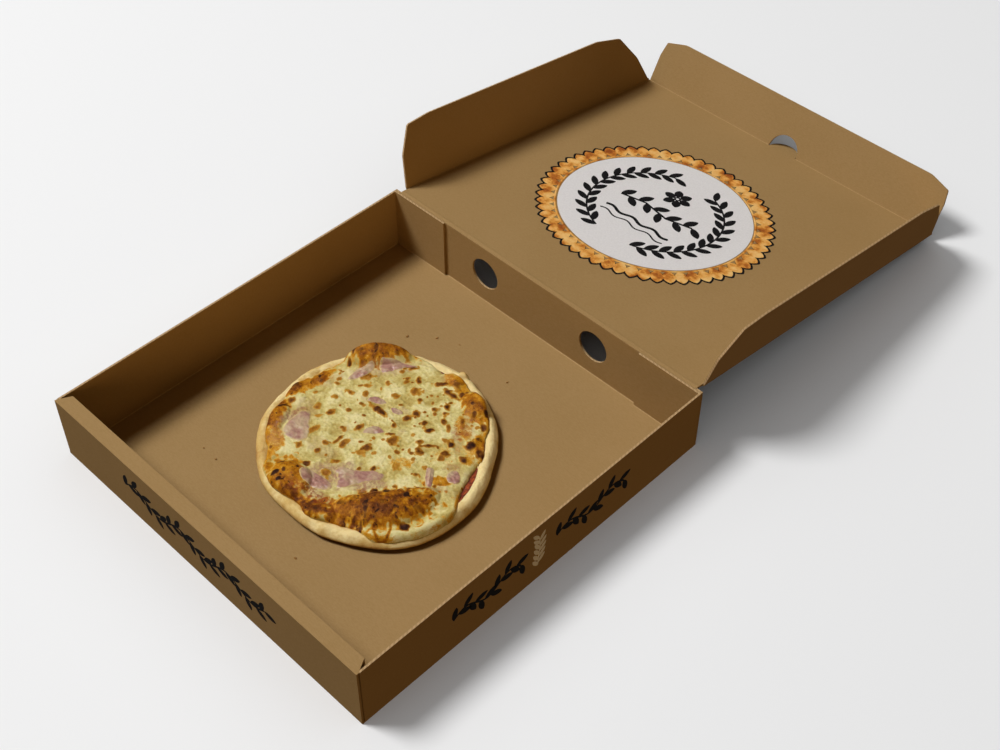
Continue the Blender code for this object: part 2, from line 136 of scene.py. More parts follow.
class Graph:
    """A material's node tree, with short ways to add what the finishes need."""

    def __init__(self, name: str) -> None:
        """Start a material.

        Args:
            name: the material's name.
        """
        self.material = bpy.data.materials.new(name)
        self.material.use_nodes = True
        self.tree = self.material.node_tree
        self.shader = self.tree.nodes["Principled BSDF"]
        self.place = self.node("ShaderNodeTexCoord").outputs["Object"]

    def node(self, kind: str, **settings) -> bpy.types.Node:
        """Add a node.

        Args:
            kind: the node's type.
            settings: attributes to set on it.

        Returns:
            The new node.
        """
        made = self.tree.nodes.new(kind)
        for key, value in settings.items():
            setattr(made, key, value)
        return made

    def feed(self, socket: Socket, value: Feed) -> None:
        """Link a socket to an output, or set its value.

        Args:
            socket: the input.
            value: an output socket, a colour, or a plain value.
        """
        if isinstance(value, Socket):
            self.tree.links.new(value, socket)
        elif isinstance(value, Colour):
            socket.default_value = value.rgba
        else:
            socket.default_value = value

    def noise(self, scale: float, detail: float = 3.0, rough: float = 0.55, place: Socket = None) -> Socket:
        """Add a noise.

        Args:
            scale: lumps per metre.
            detail: octaves.
            rough: how strongly the fine octaves count.
            place: coordinates, the object's own when left out.

        Returns:
            The noise's value, from 0 to 1.
        """
        made = self.node("ShaderNodeTexNoise")
        self.feed(made.inputs["Vector"], self.place if place is None else place)
        self.feed(made.inputs["Scale"], scale)
        self.feed(made.inputs["Detail"], detail)
        self.feed(made.inputs["Roughness"], rough)
        return made.outputs["Fac"]

    def stretched(self, stretch: tuple) -> Socket:
        """Scale the object's coordinates per axis.

        Args:
            stretch: the three factors.

        Returns:
            The scaled coordinates.
        """
        made = self.node("ShaderNodeMapping")
        self.feed(made.inputs["Vector"], self.place)
        made.inputs["Scale"].default_value = stretch
        return made.outputs["Vector"]

    def attribute(self, name: str) -> Socket:
        """Return a painted value of the mesh by its attribute's name."""
        return self.node("ShaderNodeAttribute", attribute_name=name).outputs["Fac"]

    def maths(self, operation: str, first: Feed, second: Feed, clamp: bool = False) -> Socket:
        """Add a sum.

        Args:
            operation: the operation's name.
            first: a value or output.
            second: a value or output.
            clamp: whether the result is kept from 0 to 1.

        Returns:
            The result.
        """
        made = self.node("ShaderNodeMath", operation=operation, use_clamp=clamp)
        self.feed(made.inputs[0], first)
        self.feed(made.inputs[1], second)
        return made.outputs[0]

    def share(self, value: Feed, part: float) -> Socket:
        """Return a part of a value."""
        return self.maths("MULTIPLY", value, part)

    def swing(self, value: Feed, middle: float, part: float) -> Socket:
        """Return a part of how far a value stands above a middle."""
        return self.share(self.maths("SUBTRACT", value, middle), part)

    def span(self, value: Feed, low: float, high: float, start: float = 0.0, end: float = 1.0) -> Socket:
        """Stretch a value from one range to another, smoothly and kept inside it.

        Args:
            value: the value or output.
            low: where the range begins.
            high: where it ends.
            start: the result at low.
            end: the result at high.

        Returns:
            The stretched value.
        """
        made = self.node("ShaderNodeMapRange", interpolation_type="SMOOTHSTEP")
        self.feed(made.inputs["Value"], value)
        for key, number in (("From Min", low), ("From Max", high), ("To Min", start), ("To Max", end)):
            self.feed(made.inputs[key], number)
        return made.outputs["Result"]

    def mix(self, share: Feed, first: Feed, second: Feed, blend: str = "MIX") -> Socket:
        """Mix one colour into another.

        Args:
            share: how much of the second shows.
            first: a colour or output.
            second: a colour or output.
            blend: how the two are mixed.

        Returns:
            The mixed colour.
        """
        made = self.node("ShaderNodeMix", data_type="RGBA", blend_type=blend)
        self.feed(made.inputs[0], share)
        self.feed(made.inputs[6], first)
        self.feed(made.inputs[7], second)
        return made.outputs[2]

    def ramp(self, value: Feed, *stops: tuple) -> Socket:
        """Read a colour from a row of stops.

        Args:
            value: the place along the row.
            stops: for each stop, its place from 0 to 1 and the shares of red, green and blue.

        Returns:
            The colour.
        """
        made = self.node("ShaderNodeValToRGB")
        elements = made.color_ramp.elements
        while len(elements) < len(stops):
            elements.new(0.5)
        for element, (place, *shares) in zip(elements, stops):
            element.position = place
            element.color = Colour(*shares).rgba
        self.feed(made.inputs["Fac"], value)
        return made.outputs["Color"]

    def bump(self, height: Feed, depth: float, strength: float, normal: Socket = None) -> None:
        """Roughen the surface.

        Args:
            height: the relief from 0 to 1.
            depth: how far 1 stands above 0.
            strength: how much of it shows.
            normal: a normal to start from.
        """
        made = self.node("ShaderNodeBump")
        self.feed(made.inputs["Height"], height)
        self.feed(made.inputs["Distance"], depth)
        self.feed(made.inputs["Strength"], strength)
        if normal is not None:
            self.feed(made.inputs["Normal"], normal)
        self.feed(self.shader.inputs["Normal"], made.outputs["Normal"])

    def surface(self, colour: Feed, roughness: Feed, specular: float, **extra: float) -> Finish:
        """Finish the material.

        Args:
            colour: base colour or output.
            roughness: value or output.
            specular: the sheen's level.
            extra: other inputs of the shader, spaces in their names written as underscores.

        Returns:
            The material.
        """
        self.feed(self.shader.inputs["Base Color"], colour)
        self.feed(self.shader.inputs["Roughness"], roughness)
        self.feed(self.shader.inputs["Specular IOR Level"], specular)
        for key, value in extra.items():
            self.feed(self.shader.inputs[key.replace("_", " ")], value)
        return self.material


@dataclass(frozen=True)
class KraftFinish:
    """Brown kraft liner.

    Args:
        name: the material's name.
        colour: the liner's usual colour.
        spread: how far fibres and clouds move it.
        roughness: the liner's roughness.
        round_edge: how far folds look rounded.
    """

    name: str = "kraft_liner"
    colour: Colour = Colour(0.352, 0.226, 0.092)
    spread: float = 0.06
    roughness: float = 0.72
    round_edge: float = 0.0004

    def build(self) -> Finish:
        """Make the material.

        Returns:
            The kraft material.
        """
        graph = Graph(self.name)
        low, high = 1.0 - self.spread, 1.0 + self.spread
        dark = self.colour.times(low, low * 0.98, low * 0.94)
        light = self.colour.times(high, high, high * 1.03)
        clouds = graph.noise(14.0, 3.0, 0.5)
        fibre = graph.noise(1.0, 5.0, 0.7, graph.stretched((420.0, 1500.0, 900.0)))
        blend = graph.maths("ADD", graph.share(clouds, 0.25), graph.share(fibre, 0.75))
        colour = graph.mix(graph.span(blend, 0.36, 0.64), dark, light)
        flecks = graph.span(graph.noise(1900.0, 2.0), 0.70, 0.78)
        colour = graph.mix(graph.share(flecks, 0.35), colour, Colour(0.16, 0.085, 0.035))
        rounded = graph.node("ShaderNodeBevel", samples=4)
        graph.feed(rounded.inputs["Radius"], self.round_edge)
        graph.bump(fibre, 0.00006, 0.5, rounded.outputs["Normal"])
        return graph.surface(colour, self.roughness, 0.12)


@dataclass(frozen=True)
class PlainFinish:
    """An even finish, such as ink or the paper at a cut edge.

    Args:
        name: the material's name.
        colour: its colour.
        roughness: its roughness.
        spread: how far a fine noise moves the colour.
        sheen: the level of its gloss.
    """

    name: str
    colour: Colour
    roughness: float = 0.6
    spread: float = 0.10
    sheen: float = 0.12

    def build(self) -> Finish:
        """Make the material.

        Returns:
            The plain material.
        """
        graph = Graph(self.name)
        low, high = 1.0 - self.spread, 1.0 + self.spread
        dark, light = self.colour.times(low, low, low), self.colour.times(high, high, high)
        colour = graph.mix(graph.span(graph.noise(700.0, 4.0), 0.35, 0.65), dark, light)
        return graph.surface(colour, self.roughness, self.sheen)


@dataclass(frozen=True)
class FlutedFinish:
    """The cut edge of corrugated board, paler, with its flutes as fine bands.

    Args:
        name: the material's name.
        liner: colour of the paper.
        hollow: colour of the flutes' hollows, darker as painted shade in the gaps between the flutes.
        flutes: flutes per metre.
    """

    name: str = "cut_board_edge"
    liner: Colour = Colour(0.50, 0.345, 0.18)
    hollow: Colour = Colour(0.30, 0.185, 0.082)
    flutes: float = 330.0

    def build(self) -> Finish:
        """Make the material.

        Returns:
            The cut edge's material.
        """
        graph = Graph(self.name)
        wave = graph.node("ShaderNodeTexWave", bands_direction="DIAGONAL")
        graph.feed(wave.inputs["Vector"], graph.place)
        graph.feed(wave.inputs["Scale"], self.flutes / 2.0)
        graph.feed(wave.inputs["Distortion"], 1.5)
        # Darker bands where the flutes' hollows are: painted shade in the gaps.
        ragged = graph.share(graph.span(wave.outputs["Fac"], 0.45, 0.85), 0.55)
        colour = graph.mix(ragged, self.liner, self.hollow)
        graph.bump(graph.noise(1400.0, 3.0), 0.0001, 0.5)
        return graph.surface(colour, 0.85, 0.12)


@dataclass(frozen=True)
class BakedInk:
    """Printed ink that runs from golden to orange brown.

    Args:
        name: the material's name.
    """

    name: str = "amber_ink"

    def build(self) -> Finish:
        """Make the material.

        Returns:
            The ink.
        """
        graph = Graph(self.name)
        colour = graph.ramp(
            graph.span(graph.noise(85.0, 4.0, 0.6), 0.32, 0.72),
            (0.0, 0.86, 0.55, 0.20),
            (0.45, 0.76, 0.36, 0.07),
            (0.75, 0.52, 0.17, 0.022),
            (1.0, 0.30, 0.075, 0.012),
        )
        return graph.surface(colour, 0.7, 0.2)


@dataclass(frozen=True)
class CheeseFinish:
    """Melted cheese, from pale and oily to browned and blistered.

    It reads five painted values: bake, char, pink (ham close below), red (sauce close below) and
    relief (how high the point stands among the cheese's own lumps), which darkens the hollows and
    pales the tops, partly as oily cheese and partly as painted shade and painted highlight.

    Args:
        name: the material's name.
        roughness: roughness where the cheese is wet with fat.
    """

    name: str = "melted_cheese_look"
    roughness: float = 0.36

    def build(self) -> Finish:
        """Make the material.

        Returns:
            The cheese material.
        """
        graph = Graph(self.name)
        fine = graph.noise(420.0, 4.0, 0.65)
        grain = graph.noise(1150.0, 3.0, 0.6)
        broad = graph.noise(70.0, 3.0, 0.5)
        # The relief makes the hollows darker and the lumps' tops paler: partly oily cheese in the hollows,
        # partly painted shade and painted highlight.
        tone = graph.maths("ADD", graph.attribute("relief"), graph.share(fine, 0.55))
        tone = graph.maths("ADD", tone, graph.share(broad, 0.35))
        pale = graph.ramp(
            graph.span(tone, 0.62, 1.22),
            (0.0, 0.43, 0.315, 0.085),
            (0.30, 0.545, 0.44, 0.145),
            (0.60, 0.64, 0.555, 0.225),
            (1.0, 0.76, 0.68, 0.35),
        )
        jitter = graph.maths("ADD", graph.swing(fine, 0.5, 0.62), graph.swing(grain, 0.5, 0.30))
        bake = graph.maths("ADD", graph.attribute("bake"), jitter, clamp=True)
        baked = graph.ramp(
            bake,
            (0.00, 0.66, 0.53, 0.18),
            (0.20, 0.62, 0.385, 0.07),
            (0.38, 0.555, 0.245, 0.010),
            (0.58, 0.355, 0.122, 0.003),
            (0.78, 0.155, 0.040, 0.003),
            (1.00, 0.050, 0.014, 0.003),
        )
        colour = graph.mix(graph.span(bake, 0.10, 0.32), pale, baked)
        pink = graph.maths("MULTIPLY", graph.attribute("pink"), graph.span(fine, 0.36, 0.58, 0.35, 1.0))
        colour = graph.mix(pink, colour, Colour(0.37, 0.195, 0.115))
        red = graph.maths("MULTIPLY", graph.attribute("red"), graph.span(fine, 0.38, 0.60, 0.30, 1.0))
        colour = graph.mix(red, colour, Colour(0.27, 0.055, 0.014))
        char = graph.maths("ADD", graph.attribute("char"), graph.share(jitter, 0.45), clamp=True)
        charred = graph.ramp(
            char,
            (0.00, 0.62, 0.42, 0.09),
            (0.24, 0.50, 0.25, 0.026),
            (0.46, 0.30, 0.115, 0.009),
            (0.66, 0.145, 0.046, 0.004),
            (0.86, 0.055, 0.015, 0.004),
            (1.00, 0.025, 0.008, 0.004),
        )
        colour = graph.mix(graph.span(char, 0.06, 0.22), colour, charred, "DARKEN")
        dry = graph.maths("MAXIMUM", graph.attribute("char"), graph.attribute("bake"))
        rough = graph.span(fine, 0.3, 0.7, self.roughness - 0.06, self.roughness + 0.14)
        rough = graph.maths("ADD", rough, graph.share(dry, 0.26), clamp=True)
        graph.bump(graph.maths("ADD", fine, graph.share(grain, 0.6)), 0.0007, 0.75)
        return graph.surface(colour, rough, 0.13, Subsurface_Weight=0.05, Subsurface_Scale=0.001)


@dataclass(frozen=True)
class DoughFinish:
    """Baked dough with flour on it, reading the painted value bake, whose darkest end also paints the shadow
    under the dough's lifted foot.

    Args:
        name: the material's name.
        roughness: its roughness.
    """

    name: str = "baked_dough_look"
    roughness: float = 0.85

    def build(self) -> Finish:
        """Make the material.

        Returns:
            The dough material.
        """
        graph = Graph(self.name)
        fine = graph.noise(480.0, 4.0, 0.65)
        broad = graph.noise(110.0, 3.0, 0.55)
        grain = graph.noise(1500.0, 3.0, 0.6)
        wave = graph.maths("ADD", graph.share(fine, 0.55), graph.share(broad, 0.75))
        bake = graph.maths("ADD", graph.attribute("bake"), graph.swing(wave, 0.65, 0.75), clamp=True)
        # The darkest stops also serve as painted shadow under the dough's lifted foot.
        colour = graph.ramp(
            bake,
            (0.00, 0.84, 0.68, 0.335),
            (0.28, 0.66, 0.455, 0.155),
            (0.48, 0.56, 0.335, 0.098),
            (0.66, 0.40, 0.215, 0.055),
            (0.84, 0.22, 0.095, 0.022),
            (1.00, 0.035, 0.018, 0.010),
        )
        flour = graph.share(graph.span(grain, 0.52, 0.70), 0.30)
        colour = graph.mix(flour, colour, Colour(0.74, 0.64, 0.42))
        graph.bump(graph.maths("ADD", fine, graph.share(grain, 0.5)), 0.0006, 0.8)
        return graph.surface(colour, self.roughness, 0.15, Subsurface_Weight=0.04, Subsurface_Scale=0.001)


@dataclass(frozen=True)
class MeatFinish:
    """Moist cooked ham, paler in streaks and darker at its rim, reading the painted value edge.

    Args:
        name: the material's name.
        colour: the slice's usual colour.
    """

    name: str = "cooked_ham_look"
    colour: Colour = Colour(0.375, 0.190, 0.150)

    def build(self) -> Finish:
        """Make the material.

        Returns:
            The ham material.
        """
        graph = Graph(self.name)
        grain = graph.noise(1.0, 4.0, 0.6, graph.stretched((220.0, 420.0, 320.0)))
        pale = self.colour.times(1.22, 1.34, 1.32)
        deep = self.colour.times(0.86, 0.80, 0.82)
        colour = graph.mix(graph.span(grain, 0.35, 0.68), deep, pale)
        lumps = graph.noise(85.0, 4.0, 0.55)
        film = graph.share(graph.span(lumps, 0.40, 0.62), 0.74)
        colour = graph.mix(film, colour, Colour(0.55, 0.43, 0.26))
        ragged = graph.swing(graph.noise(330.0, 3.0), 0.5, 1.5)
        rim = graph.span(graph.maths("ADD", graph.attribute("edge"), ragged), 0.35, 0.95)
        colour = graph.mix(rim, colour, Colour(0.56, 0.43, 0.17))
        graph.bump(graph.maths("ADD", grain, lumps), 0.0006, 0.6)
        return graph.surface(colour, 0.34, 0.45, Subsurface_Weight=0.10, Subsurface_Scale=0.0012)


@dataclass(frozen=True)
class SauceFinish:
    """Cooked tomato sauce, thick and glossy.

    Args:
        name: the material's name.
    """

    name: str = "tomato_sauce_look"

    def build(self) -> Finish:
        """Make the material.

        Returns:
            The sauce material.
        """
        graph = Graph(self.name)
        lumps = graph.noise(330.0, 4.0, 0.65)
        colour = graph.ramp(
            graph.span(lumps, 0.3, 0.7),
            (0.0, 0.085, 0.014, 0.007),
            (0.5, 0.20, 0.028, 0.010),
            (1.0, 0.42, 0.085, 0.018),
        )
        graph.bump(lumps, 0.0008, 0.6)
        return graph.surface(colour, 0.32, 0.5, Coat_Weight=0.25)


class Noise:
    """Smooth value noise on a plane, the same each time for a seed."""

    def __init__(self, seed: int, size: int = 97) -> None:
        """Draw the lattice.

        Args:
            seed: what the lattice is drawn from.
            size: lattice points each way before it repeats.
        """
        self.size = size
        self.lattice = np.random.default_rng(seed).random((size, size))

    def at(self, x: Array, y: Array, cell: float) -> Array:
        """Read the noise.

        Args:
            x: first coordinates.
            y: second coordinates.
            cell: the lumps' size.

        Returns:
            Its values, from -1 to 1.
        """
        u, v = x / cell, y / cell
        column, row = np.floor(u).astype(int), np.floor(v).astype(int)
        s, t = u - column, v - row
        s, t = s * s * (3 - 2 * s), t * t * (3 - 2 * t)
        left, right = column % self.size, (column + 1) % self.size
        low, high = row % self.size, (row + 1) % self.size
        grid = self.lattice
        near = grid[left, low] * (1 - s) + grid[right, low] * s
        far = grid[left, high] * (1 - s) + grid[right, high] * s
        return 2 * (near * (1 - t) + far * t) - 1

    def layered(self, x: Array, y: Array, cell: float, octaves: int = 3) -> Array:
        """Add up several octaves of the noise.

        Args:
            x: first coordinates.
            y: second coordinates.
            cell: the largest lumps' size.
            octaves: how many sizes are added.

        Returns:
            The sums, from -1 to 1.
        """
        total = np.zeros_like(x)
        for octave in range(octaves):
            total += self.at(x + 7.3 * octave, y - 3.1 * octave, cell / 2**octave) / 2**octave
        return total / (2 - 2.0 ** (1 - octaves))


@dataclass(frozen=True)
class Patch:
    """An oval spot on the pizza, in millimetres from its middle.

    Args:
        x: across the box.
        y: towards the lid.
        length: the oval's long axis.
        width: its short axis.
        turn: angle of the long axis from the x axis.
        amount: how strong the spot is at its middle.
    """

    x: float
    y: float
    length: float
    width: float
    turn: float
    amount: float

    def reach(self, x: Array, y: Array) -> Array:
        """Measure how far points lie from the oval's middle.

        Args:
            x: first coordinates from the pizza's middle, in metres.
            y: second coordinates from the pizza's middle, in metres.

        Returns:
            The distances as shares of the oval's radius.
        """
        c, s = math.cos(math.radians(self.turn)), math.sin(math.radians(self.turn))
        dx, dy = x - self.x * MILLIMETRE, y - self.y * MILLIMETRE
        along = (dx * c + dy * s) / (0.5 * self.length * MILLIMETRE)
        across = (dy * c - dx * s) / (0.5 * self.width * MILLIMETRE)
        return np.hypot(along, across)

    def weight(self, x: Array, y: Array, ragged: Array, soft: float) -> Array:
        """Cover points with the spot.

        Args:
            x: first coordinates.
            y: second coordinates.
            ragged: how far the oval's edge is moved at each point.
            soft: the width of the soft edge, as a share of the radius.

        Returns:
            How strongly the spot covers each point.
        """
        inside = np.clip((1.0 + 0.5 * soft + ragged - self.reach(x, y)) / soft, 0.0, 1.0)
        return self.amount * inside * inside * (3 - 2 * inside)


def patches(*rows: tuple) -> tuple:
    """Return patches from rows of their six values."""
    return tuple(Patch(*row) for row in rows)


# Main browned blisters on the cheese
BLISTERS = patches(
    (-54, 4, 5.5, 4, 45, 0.45), (-57, -10, 6, 6, 45, 0.60), (-45, -8, 6, 5.5, 45, 0.65),
    (-49, -17, 7, 3, 45, 0.35), (-69, -2, 5, 4, 45, 0.60), (-75, 8, 4, 4, 45, 0.80),
    (-64, 15, 4, 4, 45, 0.50), (-50, 16, 9, 4, 0, 0.60), (-54, 36, 12, 7, 45, 0.55),
    (-45, 31, 7, 4.5, 45, 0.50), (-40, 23, 4, 5, 45, 0.55), (-37, 3, 4, 3.3, 45, 0.60),
    (-18, -4, 8, 4, 90, 0.65), (-14, -22, 9, 4.5, 90, 0.60), (-20, -23, 10, 3, 90, 0.72),
    (-24, -31, 4.5, 4, 45, 0.60), (-41, -28, 14, 4, 90, 0.50), (-23, -40, 4, 4, 45, 0.75),
    (1, -13, 8, 5.5, 45, 0.85), (1, -19, 8, 5, 45, 0.40), (-37, -46, 7, 5, 45, 0.55),
    (-19, 19, 17, 4.2, 0, 0.90), (-22, 38, 6, 5, 45, 0.50), (-36, 43, 3.5, 5.5, 45, 0.55),
    (-22, 62, 4, 7, 45, 0.85), (-33, 68, 6, 3.5, 45, 0.80), (-37, 59, 4, 3, 45, 0.50),
    (-14, 52, 10, 6.5, 45, 0.65), (-5, 48, 4, 4.5, 45, 0.70), (10, 49, 4, 4.5, 45, 0.80),
    (3, 37, 5.8, 5.8, 45, 0.80), (1, 29, 6.5, 5, 45, 0.78), (-1, 17, 5, 4, 90, 0.65),
    (14, 35, 4.3, 4.3, 45, 0.75), (22, 32, 6.6, 5, 45, 1.00), (23, 46, 3.6, 7.3, 45, 0.85),
    (31, 43, 3, 7, 45, 0.60), (34, 55, 3.8, 10, 45, 0.70), (15, 57, 3.8, 5.5, 45, 0.88),
    (18, 52, 3.3, 3.5, 45, 0.60), (7, 69, 14, 4.7, 0, 0.95), (-6, 71, 11, 4, 45, 0.85),
    (3, 78, 9, 6, 45, 0.65), (14, 75, 5, 5.5, 45, 0.80), (4, 9, 6.3, 3, 45, 0.60),
    (11, 6, 8.6, 8, 45, 0.62), (26, 19, 5, 4.5, 45, 0.60), (33, 21, 11, 3.1, 45, 0.80),
    (43, 34, 4.5, 6, 45, 0.95), (32, 12, 6.3, 6, 45, 0.80), (47, 24, 6, 5, 45, 0.65),
    (48, 19, 4, 5, 45, 0.60), (55, 43, 7.5, 7.5, 45, 1.00), (61, 30, 5.2, 6.5, 45, 0.95),
    (66, 43, 6.5, 6.5, 45, 0.95), (46, -5, 4.3, 3.5, 45, 0.75), (30, -9, 7, 7, 45, 0.40),
    (20, -23, 3.5, 4.2, 45, 0.70), (-5, -37, 7, 5.3, 45, 0.62), (-2, -50, 6.2, 5.7, 45, 0.50),
    (12, -30, 3, 3.5, 45, 0.60), (57, -73, 6, 9, 45, 1.00), (46, -79, 8, 3.5, 45, 0.80),
    (30, -85, 5, 6.5, 45, 0.85), (18, -83, 3.5, 5.5, 45, 0.85), (-51, -62, 3.5, 4.7, 45, 0.85),
    (-85, -8, 7, 7, 45, 0.80), (-76, -21, 6, 5, 45, 0.65),
)

# Dark marks on the big bubble, and on the smaller ones
BUBBLE_MARKS = patches(
    (47, -54, 4.5, 12, 45, 0.90), (36, -37, 6, 5, 45, 0.80), (44, -32, 6.5, 7.5, 45, 0.90),
    (60, -26, 5, 6, 45, 1.00), (76, -43, 7, 7.5, 45, 1.00), (58, -36, 3.6, 10, 45, 0.60),
    (72, -28, 7, 5, 45, 0.55), (54, -66, 3, 9, 45, 0.80), (33, -54, 6, 4, 45, 0.50),
    (-22, -72, 3.4, 4.7, 45, 0.85), (-25, -78, 6, 7, 45, 1.15), (-19, -80, 4, 5, 20, 1.05),
    (-19, -54, 5, 5.5, 45, 0.65), (-32, -68, 8, 3.5, 45, 0.70), (-75, -29, 8, 3.5, 45, 0.90),
    (-77, -48, 3, 7, 45, 0.90), (-64, -64, 2.6, 6, 45, 0.85), (-73, 36, 4, 8, 45, 0.70),
    (-63, 56, 5, 5, 45, 0.70), (-50, 66, 5, 4, 0, 0.60), (-71, 47, 7, 3, 60, 0.55),
    (29, 71, 4, 4, 45, 0.85), (42, 73, 5, 6, 45, 0.80), (36, 66, 5, 4, 45, 0.60),
    (49, 63, 5, 6, 45, 0.85), (52, -44, 7, 5, 30, 0.60), (62, -40, 6, 5, 70, 0.62),
    (40, -46, 6, 4, 0, 0.50), (68, -35, 6, 5, 0, 0.58), (30, -62, 9, 5, 40, 0.60),
    (56, -55, 5, 4, 10, 0.52), (24, -70, 6, 5, 45, 0.60), (66, -19, 6, 4, 45, 0.60),
    (-77, 44, 3, 8, 45, 0.85), (-56, 70, 8, 3, 30, 0.60),
)

# Broad browning of the cheese
BROWNING = patches(
    (50, -47, 90, 33, 53, 0.58), (-65, 57, 58, 23, 48, 0.50), (-20, -72, 40, 30, -10, 0.45),
    (18, -77, 25, 21, 15, 0.66), (-2, -82, 30, 15, -4, 0.55), (-74, -38, 40, 17, -62, 0.50),
    (-62, -58, 26, 16, -50, 0.36), (30, 74, 34, 22, -20, 0.48), (62, 50, 26, 15, -50, 0.40),
    (4, 80, 34, 14, 0, 0.34), (-84, -8, 26, 12, 90, 0.55), (-78, 8, 34, 12, 90, 0.46),
    (62, 2, 22, 9, 45, 0.42), (30, -5, 22, 10, 45, 0.22), (52, 30, 40, 26, 45, 0.16),
    (-52, -70, 30, 22, -40, 0.30), (-54, -56, 26, 15, -50, 0.32), (65, -55, 17, 7, -45, 0.30),
    (38, 52, 26, 14, -45, 0.28), (62, 34, 20, 12, -60, 0.26),
)

# Drips of cheese with a browned rim, hanging over the dough's rim
DRIPS = patches(
    (65, -55, 25, 13, -45, 0.66), (79, -34, 12, 9, -30, 0.40), (-84, -12, 9, 6, 80, 0.50),
)

# Cheese so thin that ham shows through it
PINK_VEILS = patches(
    (-22, -36, 30, 14, 0, 0.35), (4, -46, 44, 24, 40, 0.85), (22, -38, 36, 16, 35, 0.90),
    (-50, 50, 54, 13, 52, 0.55), (-60, -20, 20, 26, 40, 0.35), (-6, 33, 10, 5, 0, 0.45),
    (-25, -11, 9, 6, 45, 0.45), (8, 16, 4, 10, 0, 0.35), (46, 38, 9, 20, 45, 0.40),
    (-36, 20, 9, 5, 0, 0.35), (64, 18, 16, 12, 30, 0.30), (78, 2, 14, 8, 40, 0.20),
    (-64, -32, 24, 6, 90, 0.85), (-56, -52, 20, 12, -50, 0.40), (38, 57, 24, 11, -40, 0.40),
)

# Cheese so thin that sauce shows through it
RED_VEILS = patches(
    (8, -69, 34, 10, 10, 0.85), (-8, -74, 16, 9, 0, 0.60), (38, 46, 8, 14, 45, 0.55),
    (62, 56, 22, 7, -52, 0.80), (66, 46, 12, 9, -60, 0.75), (-70, 14, 20, 12, 60, 0.35),
    (-66, -28, 24, 6, 60, 0.45), (66, -4, 14, 8, 45, 0.50), (-6, 78, 16, 8, 0, 0.45),
    (26, -70, 16, 8, 30, 0.40), (40, 50, 14, 7, -30, 0.50), (60, 20, 16, 6, 60, 0.35),
)


